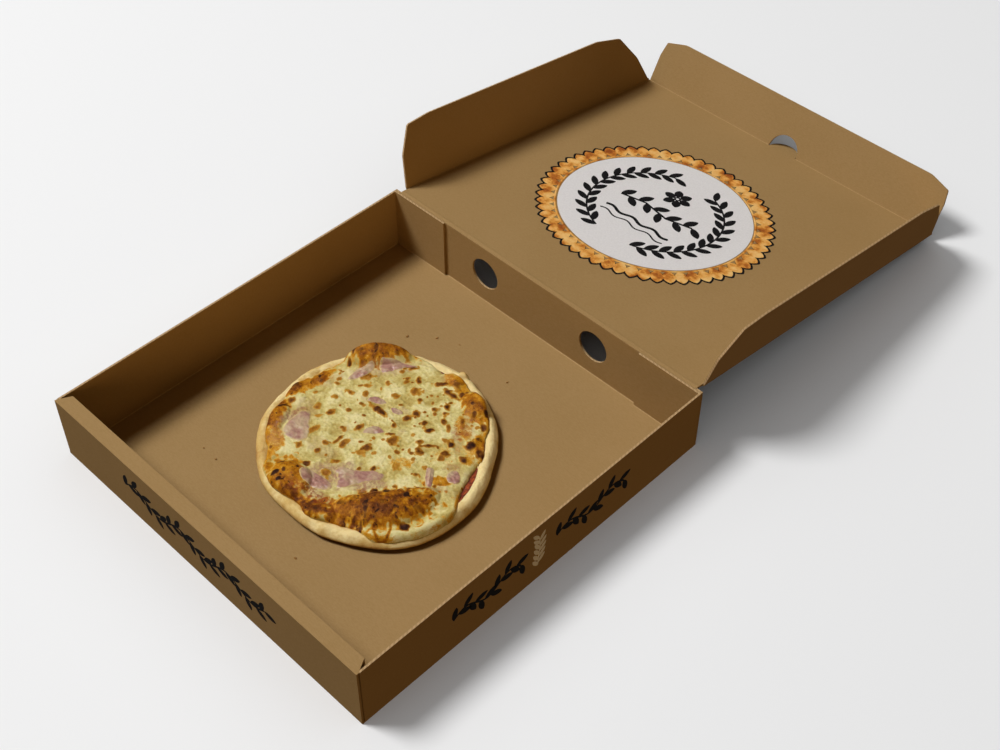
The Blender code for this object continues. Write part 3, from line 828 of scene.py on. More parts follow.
@dataclass(frozen=True)
class PizzaForm:
    """The pizza's shape: the same formulas as its plain solids, with finer unevenness over them.

    Args:
        centre: the middle of the pizza in the tray.
        floor: the height that it lies at.
        radius: its mean radius.
        base: the thickness of the dough under the topping.
        rim_height: the height of the rim.
        rim_width: the width of the rim.
        sauce: how high the cheese lies above the flat dough.
        margin: how far in from the outline the cheese usually ends.
        least_margin: how far in it ends at least.
        waves: count, height and bearing of each wave of the outline.
        edge_moves: bearing, half width and depth of each place where the cheese ends elsewhere.
        bubbles: bearing, distance, half length, half width and height of each large bubble.
        noise: the fine unevenness.
    """

    centre: tuple = (-0.0009, -0.0040)
    floor: float = 0.0019
    radius: float = 0.0936
    base: float = 0.0070
    rim_height: float = 0.0112
    rim_width: float = 0.0135
    sauce: float = 0.0016
    margin: float = 0.0084
    least_margin: float = 0.0018
    waves: tuple = ((2, 0.0027, -30.0), (3, 0.0019, -27.0), (4, 0.0007, -21.0), (9, 0.0005, 10.0))
    edge_moves: tuple = (
        (138.0, 17.0, -0.0095), (69.0, 12.0, -0.0060), (-38.0, 14.0, -0.0060),
        (-15.0, 12.0, -0.0068), (17.0, 11.0, 0.0060), (50.0, 14.0, 0.0022),
        (105.0, 13.0, 0.0015), (166.0, 13.0, 0.0014), (-150.0, 9.0, -0.0030),
        (-112.0, 20.0, -0.0038), (-75.0, 7.0, -0.0030),
    )
    bubbles: tuple = (
        (138.0, 0.0855, 0.0270, 0.0102, 0.0106), (-37.0, 0.0685, 0.0410, 0.0165, 0.0095),
        (-103.0, 0.0730, 0.0180, 0.0150, 0.0065), (-151.0, 0.0800, 0.0150, 0.0075, 0.0035),
        (69.0, 0.0800, 0.0150, 0.0110, 0.0065), (93.0, 0.0840, 0.0100, 0.0060, 0.0030),
        (-72.0, 0.0790, 0.0110, 0.0080, 0.0040),
    )
    noise: Noise = field(default_factory=lambda: Noise(11))

    def bend(self, angle: Array, bearing: float) -> Array:
        """Return the difference between angles and a bearing in degrees, from -180 to 180."""
        return (np.degrees(angle) - bearing + 180.0) % 360.0 - 180.0

    def towards(self, angle: Array, bearing: float) -> Array:
        """Return how far angles point the way of a bearing in degrees, from 0 to 1."""
        return np.clip(np.cos(angle - math.radians(bearing)), 0.0, 1.0)

    def outline(self, angle: Array) -> Array:
        """Lay out the dough's edge.

        Args:
            angle: bearings in radians.

        Returns:
            The dough's radius at each.
        """
        radius = np.full_like(angle, self.radius)
        for count, swing, phase in self.waves:
            radius = radius + swing * np.cos(count * (angle - math.radians(phase)))
        return radius

    def rim_lift(self, angle: Array) -> Array:
        """Return how high the rim stands, as a share of its usual height."""
        lift = 1.0 + 0.07 * np.sin(3 * angle + 0.6) + 0.05 * np.sin(7 * angle + 2.0)
        return lift + 0.03 * np.sin(13 * angle)

    def dough_top(self, inset: Array, angle: Array) -> Array:
        """Shape the dough's upper face.

        Args:
            inset: distances in from the outline.
            angle: bearings in radians.

        Returns:
            The height at each.
        """
        across = np.clip(inset / self.rim_width, 0.0, 1.0)
        slope = 0.52 + 0.18 * self.towards(angle, 5.0)
        crown = np.sin(np.pi * across**slope) ** 0.85
        shoulder = 0.5 + 0.5 * np.cos(np.pi * across)
        rise = (self.rim_height - self.base) * crown * self.rim_lift(angle)
        return self.floor + self.base * (1.0 - 0.35 * shoulder**6) + rise

    def under_cheese(self, inset: Array, angle: Array) -> Array:
        """Return the height of what the cheese lies on, be it sauce or rim."""
        return np.maximum(self.floor + self.base + self.sauce, self.dough_top(inset, angle))

    def cheese_margin(self, angle: Array) -> Array:
        """Lay out the cheese's edge.

        Args:
            angle: bearings in radians.

        Returns:
            How far in from the outline the cheese ends at each.
        """
        margin = self.margin + 0.0016 * np.sin(5 * angle + 1.0) + 0.0011 * np.sin(11 * angle + 0.4)
        margin = margin + 0.0007 * np.sin(19 * angle)
        for bearing, half_width, extra in self.edge_moves:
            margin = margin + extra * np.exp(-((self.bend(angle, bearing) / half_width) ** 2))
        return np.maximum(margin, self.least_margin)

    def bubble_share(self, radius: Array, angle: Array) -> Array:
        """Raise the large baked bubbles.

        Args:
            radius: distances from the pizza's middle.
            angle: bearings in radians.

        Returns:
            How far the bubbles raise the cheese at each.
        """
        lift = np.zeros_like(radius)
        for bearing, distance, half_length, half_width, height in self.bubbles:
            along = np.radians(self.bend(angle, bearing)) * distance / half_length
            across = (radius - distance) / half_width
            inside = np.clip(1.0 - along**2 - across**2, 0.0, 1.0)
            lift = np.maximum(lift, height * inside**0.7)
        return lift

    def place(self, radius: Array, angle: Array, height: Array) -> Array:
        """Place points in the tray.

        Args:
            radius: their distances from the pizza's middle.
            angle: their bearings in radians.
            height: their heights.

        Returns:
            Their coordinates.
        """
        x = self.centre[0] + radius * np.cos(angle)
        y = self.centre[1] + radius * np.sin(angle)
        return np.stack((x, y, np.broadcast_to(height, x.shape)), axis=-1)


def bearings(count: int) -> Array:
    """Return even bearings all the way round, in radians."""
    return np.arange(count) * 2 * math.pi / count


def placed(name: str, data: bpy.types.ID) -> Piece:
    """Put data into the scene.

    Args:
        name: the object's name.
        data: its mesh, curve, light or camera.

    Returns:
        The new object.
    """
    made = bpy.data.objects.new(name, data)
    bpy.context.scene.collection.objects.link(made)
    return made


def turn_outward(data: bpy.types.Mesh) -> None:
    """Turn the faces of a closed mesh outward.

    Args:
        data: the mesh.
    """
    shape = bmesh.new()
    shape.from_mesh(data)
    bmesh.ops.recalc_face_normals(shape, faces=shape.faces)
    shape.to_mesh(data)
    shape.free()


def polar_mesh(name: str, rows: list, painted: dict) -> Piece:
    """Close rings of points, from the underside's middle round to the top's, into a smooth mesh.

    Args:
        name: the object's name.
        rows: one array of points for each ring, all of one length.
        painted: for each attribute, an array of a value per ring point.

    Returns:
        The new object.
    """
    count = len(rows[0])
    points = np.concatenate(rows)
    hubs = np.stack((rows[0].mean(axis=0), rows[-1].mean(axis=0)))
    points = np.concatenate((points, hubs))
    i = np.arange(count)
    j = (i + 1) % count
    faces = []
    for step in range(len(rows) - 1):
        a, b = step * count, (step + 1) * count
        faces.extend(np.stack((a + i, b + i, b + j, a + j), axis=1).tolist())
    last, low, high = (len(rows) - 1) * count, len(points) - 2, len(points) - 1
    faces.extend((low, int(p), int(q)) for p, q in zip(i, j))
    faces.extend((high, int(last + q), int(last + p)) for p, q in zip(i, j))
    data = bpy.data.meshes.new(name)
    data.from_pydata(points.tolist(), [], faces)
    for key, rings in painted.items():
        values = np.concatenate([np.concatenate(rings), (rings[0].mean(), rings[-1].mean())])
        data.attributes.new(key, "FLOAT", "POINT").data.foreach_set("value", values.astype(np.float32))
    turn_outward(data)
    data.shade_smooth()
    return placed(name, data)


def dress(piece: Piece, finish: Finish, body: Body) -> Piece:
    """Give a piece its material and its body.

    Args:
        piece: the object.
        finish: its material.
        body: the body that it moves with.

    Returns:
        The same object.
    """
    piece.data.materials.clear()
    piece.data.materials.append(finish)
    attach(piece, body.value)
    LOG.info("%s: %d faces", piece.name, len(piece.data.polygons))
    return piece


class Shapes:
    """A Geometry Nodes tree with named sizes, and short ways to add its nodes."""

    def __init__(self, name: str) -> None:
        """Start a tree.

        Args:
            name: the tree's name.
        """
        self.tree = bpy.data.node_groups.new(name, "GeometryNodeTree")
        for way in ("INPUT", "OUTPUT"):
            self.tree.interface.new_socket("Geometry", in_out=way, socket_type="NodeSocketGeometry")
        self.start = self.tree.nodes.new("NodeGroupInput")
        self.end = self.tree.nodes.new("NodeGroupOutput")
        self.sizes = {}

    def size(self, name: str, kind: str = "NodeSocketFloat") -> Socket:
        """Add a named input.

        Args:
            name: the input's name.
            kind: the socket's type.

        Returns:
            The output that carries it into the tree.
        """
        socket = self.tree.interface.new_socket(name, in_out="INPUT", socket_type=kind)
        self.sizes[name] = socket.identifier
        return self.start.outputs[name]

    def node(self, kind: str, feeds: dict, **settings) -> bpy.types.Node:
        """Add a node.

        Args:
            kind: the node's type.
            feeds: for each input, by name or number, an output socket or a value.
            settings: attributes to set on the node.

        Returns:
            The new node.
        """
        made = self.tree.nodes.new(kind)
        for key, value in settings.items():
            setattr(made, key, value)
        for key, value in feeds.items():
            if isinstance(value, Socket):
                self.tree.links.new(value, made.inputs[key])
            else:
                made.inputs[key].default_value = value
        return made

    def maths(self, operation: str, first: Feed, second: Feed = 0.0) -> Socket:
        """Return the result of a sum of values or outputs."""
        return self.node("ShaderNodeMath", {0: first, 1: second}, operation=operation).outputs[0]

    def close(self, geometry: Socket, finish: Socket) -> None:
        """End the tree with its instances made real and its material set.

        Args:
            geometry: what the tree has made.
            finish: the material.
        """
        real = self.node("GeometryNodeRealizeInstances", {"Geometry": geometry})
        dressed = self.node("GeometryNodeSetMaterial", {"Geometry": real.outputs[0], "Material": finish})
        self.tree.links.new(dressed.outputs[0], self.end.inputs[0])

    def grow(self, host: Piece, name: str, values: dict, place: Matrix) -> Piece:
        """Run the tree on an object and keep the result as a plain mesh.

        Args:
            host: the path or mesh that the tree works on, which is removed.
            name: the new piece's name.
            values: the tree's sizes by name.
            place: where the result goes.

        Returns:
            The new piece.
        """
        modifier = host.modifiers.new("shapes", "NODES")
        modifier.node_group = self.tree
        for key, value in values.items():
            modifier[self.sizes[key]] = value
        bpy.context.view_layer.update()
        shown = host.evaluated_get(bpy.context.evaluated_depsgraph_get())
        data = bpy.data.meshes.new_from_object(shown)
        host.modifiers.remove(modifier)
        bpy.data.objects.remove(host)
        data.name = name
        data.transform(place)
        return placed(name, data)


def plain_mesh(name: str, points: list, faces: list) -> Piece:
    """Make a closed mesh with its faces outward.

    Args:
        name: the object's name.
        points: its points.
        faces: its faces.

    Returns:
        The new object.
    """
    data = bpy.data.meshes.new(name)
    data.from_pydata(points, [], faces)
    turn_outward(data)
    return placed(name, data)


def path_object(points: list, cyclic: bool) -> Piece:
    """Make a curve through points on a plane.

    Args:
        points: pairs of coordinates.
        cyclic: whether the last point joins the first.

    Returns:
        The curve's object.
    """
    data = bpy.data.curves.new("path", "CURVE")
    data.dimensions = "3D"
    spline = data.splines.new("POLY")
    spline.points.add(len(points) - 1)
    for point, (x, y) in zip(spline.points, points):
        point.co = (x, y, 0.0, 1.0)
    spline.use_cyclic_u = cyclic
    return placed("path", data)


@dataclass
class Dough:
    """The dough base with its floury, uneven rim.

    Args:
        form: the pizza's shape.
        sectors: points round each ring.
        foot_lift: how far the dough's foot is lifted at most.
        nub: a small lump on the rim, its amount being its height in metres.
    """

    form: PizzaForm
    sectors: int = 540
    foot_lift: float = 0.0029
    nub: Patch = Patch(-1.5, 91.5, 8.5, 7.5, 45, 0.0046)

    def build(self, finish: Finish) -> Piece:
        """Make the dough.

        Args:
            finish: its material.

        Returns:
            The dough, which replaces the plain one.
        """
        form, noise = self.form, self.form.noise
        angle = bearings(self.sectors)
        x, y = np.cos(angle) * 0.09, np.sin(angle) * 0.09
        outline = form.outline(angle) + 0.0006 * noise.layered(x, y, 0.011)
        edge = form.floor + 0.0044 * form.rim_lift(angle)
        gap = 0.0003 + self.foot_lift * form.towards(angle, -62.0) ** 0.6
        rows = [
            form.place(outline - 0.0120, angle, form.floor),
            form.place(outline - 0.0095, angle, form.floor + 0.0002),
            form.place(outline - 0.0050, angle, form.floor + 0.85 * gap),
            form.place(outline - 0.0016, angle, form.floor + gap),
            form.place(outline - 0.0004, angle, form.floor + 0.55 * gap + 0.45 * (edge - form.floor)),
            form.place(outline, angle, edge),
        ]
        # Painted shadow: the underside rows are dark, darker still towards bearing -85, standing in for the
        # shade under the lifted foot; partly the underside's own browning.
        foot = 0.34 * form.towards(angle, -85.0)
        low = 0.66 + foot + 0.2 * noise.layered(x, y, 0.012)
        side = 0.56 + 0.35 * noise.layered(x, y, 0.011)
        bake = [low, low, low, low, side + 0.4 * foot, side]
        west = form.towards(angle, -125.0) ** 4
        # Painted light: the rim is made paler towards bearings 10 and 100, on the side turned away from the
        # key light.
        east_painted_light = form.towards(angle, 10.0) ** 2
        north_painted_light = form.towards(angle, 100.0)
        for inset in form.rim_width * np.linspace(0.02, 1.25, 44):
            radius = outline - inset
            px, py = radius * np.cos(angle), radius * np.sin(angle)
            depth = min(inset / 0.002, 1.0)
            lumps = 0.00095 * noise.layered(px, py, 0.0085, 4) + 0.00026 * noise.at(px, py, 0.0015)
            nub = self.nub.amount * np.sqrt(np.clip(1.0 - self.nub.reach(px, py) ** 2, 0.0, 1.0))
            height = form.dough_top(np.full_like(angle, inset), angle) + lumps * depth + nub
            rows.append(form.place(radius, angle, height))
            across = inset / form.rim_width
            crown = math.sin(math.pi * min(across, 1.0) ** 0.72)
            warm = 0.32 - 0.22 * crown + 0.34 * noise.layered(px, py, 0.013, 3)
            tan = np.clip(1.5 * noise.layered(px + 0.04, py, 0.009, 2) - 0.55, 0.0, 1.0)
            # The terms towards bearings 10 and 100 are painted light; the rest is the crust's own browning.
            brown = warm + 0.15 * west - 0.21 * east_painted_light - 0.20 * north_painted_light + 0.5 * tan + 130 * nub
            bake.append(np.clip(brown, 0.0, 1.0))
        made = polar_mesh("dough_with_rim", rows, {"bake": bake})
        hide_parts("pizza_dough")
        return dress(made, finish, Body.TRAY)


@dataclass
class Sauce:
    """The tomato sauce between the dough and the cheese, wetting the foot of the rim.

    Args:
        form: the pizza's shape.
        sectors: points round each ring.
    """

    form: PizzaForm
    sectors: int = 360

    def build(self, finish: Finish) -> Piece:
        """Make the sauce.

        Args:
            finish: its material.

        Returns:
            The sauce, which replaces the plain layer.
        """
        form, noise = self.form, self.form.noise
        angle = bearings(self.sectors)
        x, y = np.cos(angle) * 0.08, np.sin(angle) * 0.08
        edge = form.outline(angle) - 0.0100 + 0.0012 * noise.layered(x, y, 0.009)
        top = form.floor + form.base + form.sauce
        rows = [form.place(edge, angle, form.floor + form.base - 0.0005)]
        for step in range(14):
            radius = edge - 0.0011 * step
            px, py = radius * np.cos(angle), radius * np.sin(angle)
            ground = form.dough_top(form.outline(angle) - radius, angle)
            film = 0.00025 + 0.0001 * min(step, 4)
            height = np.maximum(top, ground + film) + 0.00025 * noise.layered(px, py, 0.004)
            rows.append(form.place(radius, angle, height))
        made = polar_mesh("tomato_sauce_layer", rows, {})
        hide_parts("tomato_sauce")
        return dress(made, finish, Body.TRAY)


@dataclass
class Cheese:
    """The melted cheese with its bubbles, blisters and browning.

    Args:
        form: the pizza's shape.
        sectors: points round each ring.
        rings: rings from the edge to the middle.
        freckles: how many small blisters are strewn by chance.
        seed: what the small blisters are drawn from.
        reach: how far from the middle they lie at most, in millimetres.
        lip: the cheese's thickness at its edge.
        thickness: what its middle adds to that.
    """

    form: PizzaForm
    sectors: int = 600
    rings: int = 138
    freckles: int = 150
    seed: int = 5
    reach: float = 83.0
    lip: float = 0.0003
    thickness: float = 0.0039

    def small_blisters(self) -> tuple:
        """Strew small blisters over the cheese, denser towards the right and the back.

        Returns:
            The patches.
        """
        chance = np.random.default_rng(self.seed)
        made = []
        while len(made) < self.freckles:
            bearing = chance.uniform(0, 2 * math.pi)
            distance = self.reach * math.sqrt(chance.uniform(0, 1))
            x, y = distance * math.cos(bearing), distance * math.sin(bearing)
            if chance.uniform() > 0.45 + 0.006 * (x + y) + 0.35 * (distance / self.reach) ** 3:
                continue
            length = chance.uniform(1.8, 4.6)
            width = length * chance.uniform(0.45, 0.95)
            made.append(Patch(x, y, length, width, chance.uniform(0, 180), chance.uniform(0.22, 0.62)))
        return tuple(made)

    def paint(self, x: Array, y: Array, spots: tuple, soft: float, ragged: float) -> Array:
        """Cover points with some spots.

        Args:
            x: first coordinates.
            y: second coordinates.
            spots: the patches.
            soft: the width of their soft edge.
            ragged: how uneven their outline is.

        Returns:
            The strongest cover of each point by any of them.
        """
        wobble = ragged * self.form.noise.layered(x, y, 0.0032, 2)
        total = np.zeros_like(x)
        for spot in spots:
            total = np.maximum(total, spot.weight(x, y, wobble, soft))
        return total

    def waves(self, x: Array, y: Array) -> Array:
        """Raise the cheese's own lumps.

        Args:
            x: first coordinates.
            y: second coordinates.

        Returns:
            How far the points stand above or below the even surface.
        """
        noise = self.form.noise
        waves = 0.0004 * np.sin(210 * x + 1.0) * np.cos(170 * y - 0.5)
        waves = waves + 0.0006 * noise.layered(x, y, 0.0085, 3) + 0.00026 * noise.at(x, y, 0.0016)
        return waves + 0.0004 * noise.layered(x + 0.02, y, 0.0034, 2)

    def browning(self, x: Array, y: Array, inset: Array) -> tuple:
        """Brown the cheese in broad patches, round its drips and at its edge.

        Args:
            x: first coordinates.
            y: second coordinates.
            inset: how far in from the cheese's edge the points lie.

        Returns:
            How far they are browned, without the edge's browning and with it.
        """
        noise = self.form.noise
        bake = self.paint(x, y, BROWNING, 0.75, 0.50)
        bake = 1.16 * bake * (1.0 + 0.50 * noise.layered(x, y, 0.0052, 3))
        for drip in DRIPS:
            ring = drip.amount * np.exp(-(((drip.reach(x, y) - 0.9) / 0.17) ** 2))
            bake = np.maximum(bake, ring * (1.0 + 0.3 * noise.layered(x, y, 0.004, 2)))
        edge = 0.40 * np.exp(-(((inset - 0.001) / 0.0022) ** 2))
        edge = edge * np.clip(0.45 + 1.1 * noise.layered(x, y, 0.012, 2), 0.0, 1.3)
        return bake, np.maximum(bake, edge)

    def build(self, finish: Finish) -> Piece:
        """Make the cheese.

        Args:
            finish: its material.

        Returns:
            The cheese, which replaces the plain sheet.
        """
        form, noise = self.form, self.form.noise
        angle = bearings(self.sectors)
        outline = form.outline(angle)
        x, y = np.cos(angle) * 0.085, np.sin(angle) * 0.085
        margin = form.cheese_margin(angle) + 0.0011 * noise.layered(x, y, 0.0065, 3)
        margin = np.maximum(margin, form.least_margin)
        rows, painted = [], {"bake": [], "char": [], "pink": [], "red": [], "relief": []}
        for share in (1.0, 0.5, 0.0):
            inset = margin + (form.rim_width + 0.004) * share
            rows.append(form.place(outline - inset, angle, form.under_cheese(inset, angle) - 0.0003))
            for rings in painted.values():
                rings.append(np.zeros(self.sectors))
        freckles = self.small_blisters()
        for step in range(self.rings):
            share = (step / self.rings) ** 0.92
            inset = margin + 0.0001 + (outline - margin - 0.0001) * share
            radius = outline - inset
            x, y = radius * np.cos(angle), radius * np.sin(angle)
            depth = np.clip((inset - margin) / 0.0065, 0.0, 1.0)
            body = self.lip + self.thickness * np.sqrt(depth * (2 - depth))
            lift = form.bubble_share(radius, angle) * (1.0 + 0.05 * noise.layered(x, y, 0.01, 2))
            waves = self.waves(x, y)
            char = self.paint(x, y, BLISTERS, 1.30, 0.62)
            fine = self.paint(x, y, freckles, 1.0, 0.55)
            marks = self.paint(x, y, BUBBLE_MARKS, 0.9, 0.60)
            bumps = 0.0010 * np.sqrt(np.clip(char, 0, 1)) + 0.0005 * np.sqrt(fine)
            height = form.under_cheese(inset, angle) + body + lift + waves * depth + bumps * depth
            rows.append(form.place(radius, angle, height))
            bake, crust = self.browning(x, y, inset - margin)
            speckle = np.clip(noise.at(x + 0.3, y, 0.0015) - 0.25, 0.0, 1.0)
            speckle = speckle * np.clip(bake - 0.25, 0.0, 0.4) * 4.4
            mottle = 1.0 + 0.38 * noise.layered(x + 0.11, y, 0.0032, 2)
            spots = np.maximum.reduce((0.88 * char, fine, marks)) * mottle
            painted["bake"].append(np.clip(crust, 0.0, 1.0))
            painted["char"].append(np.clip(np.maximum(spots, speckle), 0.0, 1.15))
            painted["pink"].append(self.paint(x, y, PINK_VEILS, 0.7, 0.45))
            painted["red"].append(self.paint(x, y, RED_VEILS, 0.7, 0.50))
            # The relief that the cheese's colour follows: partly painted shade in the hollows and painted
            # highlight on the tops.
            painted["relief"].append(np.clip(0.5 + 330.0 * waves, 0.0, 1.0))
        made = polar_mesh("melted_cheese_sheet", rows, painted)
        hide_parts("melted_cheese")
        return dress(made, finish, Body.TRAY)


@dataclass(frozen=True)
class HamSlice:
    """A torn slice of ham, in millimetres from the pizza's middle.

    Args:
        node: the plain slice that it replaces.
        fold: how high its middle is folded up.
        corners: the places round its edge.
        sectors: points round each ring.
        steps: rings from the edge to the middle.
    """

    node: str
    fold: float
    corners: tuple
    sectors: int = 96
    steps: int = 16

    def loop(self) -> Array:
        """Draw a smooth line through the corners.

        Returns:
            Its points, in metres.
        """
        corners = np.array(self.corners, dtype=float) * MILLIMETRE
        along = np.arange(self.sectors) * len(corners) / self.sectors
        first = np.floor(along).astype(int)
        t = (along - first)[:, None]
        a, b, c, d = (corners[(first + shift) % len(corners)] for shift in (-1, 0, 1, 2))
        curved = (2 * a - 5 * b + 4 * c - d) * t**2 + (3 * b - a - 3 * c + d) * t**3
        return 0.5 * (2 * b + (c - a) * t + curved)

    def build(self, index: int, ground: BVHTree, form: PizzaForm, finish: Finish) -> Piece:
        """Make the slice.

        Args:
            index: its number.
            ground: the cheese's surface.
            form: the pizza's shape.
            finish: its material.

        Returns:
            The slice.
        """
        loop = self.loop()
        middle = loop.mean(axis=0)
        spokes = loop - middle
        long_way = np.linalg.svd(spokes)[2][0]
        across = spokes @ np.array((-long_way[1], long_way[0]))
        tops, lows, edge = [], [], []
        for share in np.linspace(1.0, 0.06, self.steps):
            frayed = 1.0 + 0.05 * form.noise.layered(spokes[:, 0] * 900 + index, spokes[:, 1] * 900, 2.2, 2)
            flat = middle + spokes * (share * frayed)[:, None] + np.array(form.centre)
            x, y = flat[:, 0], flat[:, 1]
            base = np.array([self.height(ground, px, py) for px, py in zip(x, y)])
            crease = self.fold * MILLIMETRE * np.exp(-((across * share / (0.45 * across.std())) ** 2))
            curl = 0.00035 * form.noise.layered(x, y, 0.005, 2)
            skin = 0.0009 * math.sqrt(max(1.0 - share**4, 0.0)) - 0.00022
            wrinkle = 0.0003 * form.noise.layered(x + 0.05, y, 0.0035, 2)
            height = base + skin + crease * (1.0 - share**2) + (curl + wrinkle) * (1.0 - share**3)
            tops.append(np.stack((x, y, height), axis=-1))
            lows.append(np.stack((x, y, base - 0.0008), axis=-1))
            edge.append(np.full(self.sectors, max(0.0, (share - 0.72) / 0.28)))
        made = polar_mesh(f"ham_piece_{index}", lows[::-1] + tops, {"edge": edge[::-1] + edge})
        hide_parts(self.node)
        return dress(made, finish, Body.TRAY)

    def height(self, ground: BVHTree, x: float, y: float) -> float:
        """Measure the cheese's height at a point.

        Args:
            ground: the cheese's surface.
            x: first coordinate.
            y: second coordinate.

        Returns:
            The height.
        """
        place = ground.ray_cast(Vector((x, y, 0.2)), -OVERHEAD)[0]
        if place is None:
            raise ValueError(f"no cheese lies under {x}, {y}")
        return place.z


HAM_SLICES = (
    HamSlice("ham_slice_1", 0.0, (
        (-57, -46), (-61, -36), (-62, -22), (-57, -18), (-46, -28), (-38, -36), (-38, -43), (-47, -47),
    )),
    HamSlice("ham_slice_2", 0.5, (
        (-62, 24), (-64, 34), (-63, 43), (-59, 49), (-55, 46), (-54, 37), (-57, 28),
    )),
    HamSlice("ham_slice_3", 0.4, (
        (-56, 54), (-50, 61), (-42, 67), (-31, 71), (-38, 64), (-42, 56), (-47, 48), (-53, 49),
    )),
    HamSlice("ham_slice_4", 0.4, (
        (-16, -62), (-13, -56), (-3, -54), (8, -53), (12, -57), (8, -63), (-2, -67), (-11, -67),
    )),
    HamSlice("ham_slice_5", 0.3, (
        (14, -54), (8, -48), (0, -43), (1, -38), (10, -34), (19, -26), (29, -20), (33, -24),
        (28, -32), (23, -40), (19, -49),
    )),
    HamSlice("ham_slice_6", 0.0, ((-35, 20), (-34, 26), (-28, 29), (-22, 29), (-23, 25), (-29, 22))),
    HamSlice("ham_slice_7", 0.0, ((-13, -5), (-13, 3), (-8, 8), (-1, 8), (-2, 4), (-7, -1))),
    HamSlice("ham_slice_8", 0.0, ((-16, 27), (-12, 30), (-6, 31), (-5, 28), (-10, 25))),
    HamSlice("ham_slice_9", 1.1, ((47, 6), (51, 9), (57, 3), (63, -5), (61, -8), (54, -3))),
    HamSlice("ham_slice_10", 0.0, ((62, 11), (63, 18), (68, 19), (73, 15), (74, 10), (68, 7))),
)


@dataclass
class Crumbs:
    """Baked crumbs scattered on the tray's floor round the pizza.

    Args:
        form: the pizza's shape.
        density: crumbs per square metre.
        size: a usual crumb's radius.
        seed: what their places are drawn from.
        near: how far from the pizza's middle they begin, in millimetres.
        far: how far from it they end.
        corners: corners of the ring that they lie in.
    """

    form: PizzaForm
    density: float = 170.0
    size: float = 0.0007
    seed: int = 3
    near: float = 106.0
    far: float = 136.0
    corners: int = 60

    def tree(self) -> Shapes:
        """Build the tree that strews crumbs over a face.

        Returns:
            The tree.
        """
        shapes = Shapes("crumbs")
        density, size = shapes.size("Density"), shapes.size("Size")
        seed = shapes.size("Seed", "NodeSocketInt")
        finish = shapes.size("Crust", "NodeSocketMaterial")
        strewn = {"Mesh": shapes.start.outputs[0], "Density": density, "Seed": seed}
        spots = shapes.node("GeometryNodeDistributePointsOnFaces", strewn).outputs[0]
        ball = shapes.node("GeometryNodeMeshIcoSphere", {"Radius": size, "Subdivisions": 3}).outputs[0]
        rough = shapes.node("ShaderNodeTexNoise", {"Scale": 900.0, "Detail": 2.0}).outputs[0]
        normal = shapes.node("GeometryNodeInputNormal", {}).outputs[0]
        push = shapes.maths("SUBTRACT", rough, 0.5)
        push = shapes.maths("MULTIPLY", push, shapes.maths("MULTIPLY", size, 2.2))
        scaled = {0: normal, "Scale": push}
        offset = shapes.node("ShaderNodeVectorMath", scaled, operation="SCALE").outputs[0]
        lump = shapes.node("GeometryNodeSetPosition", {"Geometry": ball, "Offset": offset}).outputs[0]
        stretch = {0: (0.6, 0.5, 0.4), 1: (1.9, 1.2, 0.9), "Seed": seed}
        stretch = shapes.node("FunctionNodeRandomValue", stretch, data_type="FLOAT_VECTOR").outputs[0]
        turn = {0: (0.0, 0.0, 0.0), 1: (0.4, 0.4, 6.28), "Seed": seed}
        turn = shapes.node("FunctionNodeRandomValue", turn, data_type="FLOAT_VECTOR").outputs[0]
        spin = shapes.node("FunctionNodeEulerToRotation", {0: turn}).outputs[0]
        laid = {"Points": spots, "Instance": lump, "Rotation": spin, "Scale": stretch}
        shapes.close(shapes.node("GeometryNodeInstanceOnPoints", laid).outputs[0], finish)
        return shapes

    def build(self) -> Piece:
        """Make the crumbs.

        Returns:
            The crumbs, as one piece.
        """
        crust = PlainFinish("crumb_crust", Colour(0.36, 0.19, 0.060), 0.85, 0.35).build()
        count, height = self.corners, self.form.floor + 0.0002
        ring = [*round_points(self.near, count), *round_points(self.far, count)]
        points = [(*(np.array(p) * MILLIMETRE + np.array(self.form.centre)), height) for p in ring]
        faces = [(k, count + k, count + (k + 1) % count, (k + 1) % count) for k in range(count)]
        host = plain_mesh("crumb_ground", points, faces)
        values = {"Density": self.density, "Size": self.size, "Seed": self.seed, "Crust": crust}
        made = self.tree().grow(host, "baked_crumbs", values, Matrix.Identity(4))
        return dress(made, crust, Body.TRAY)


@dataclass
class Pizza:
    """The whole pizza.

    Args:
        form: its shape.
    """

    form: PizzaForm = field(default_factory=PizzaForm)

    def build(self) -> None:
        """Make the dough, the sauce, the cheese, the ham and the crumbs."""
        Dough(self.form).build(DoughFinish().build())
        Sauce(self.form).build(SauceFinish().build())
        cheese = Cheese(self.form).build(CheeseFinish().build())
        bpy.context.view_layer.update()
        ground = BVHTree.FromObject(cheese, bpy.context.evaluated_depsgraph_get())
        meat = MeatFinish().build()
        for index, piece in enumerate(HAM_SLICES, start=1):
            piece.build(index, ground, self.form, meat)
        Crumbs(self.form).build()


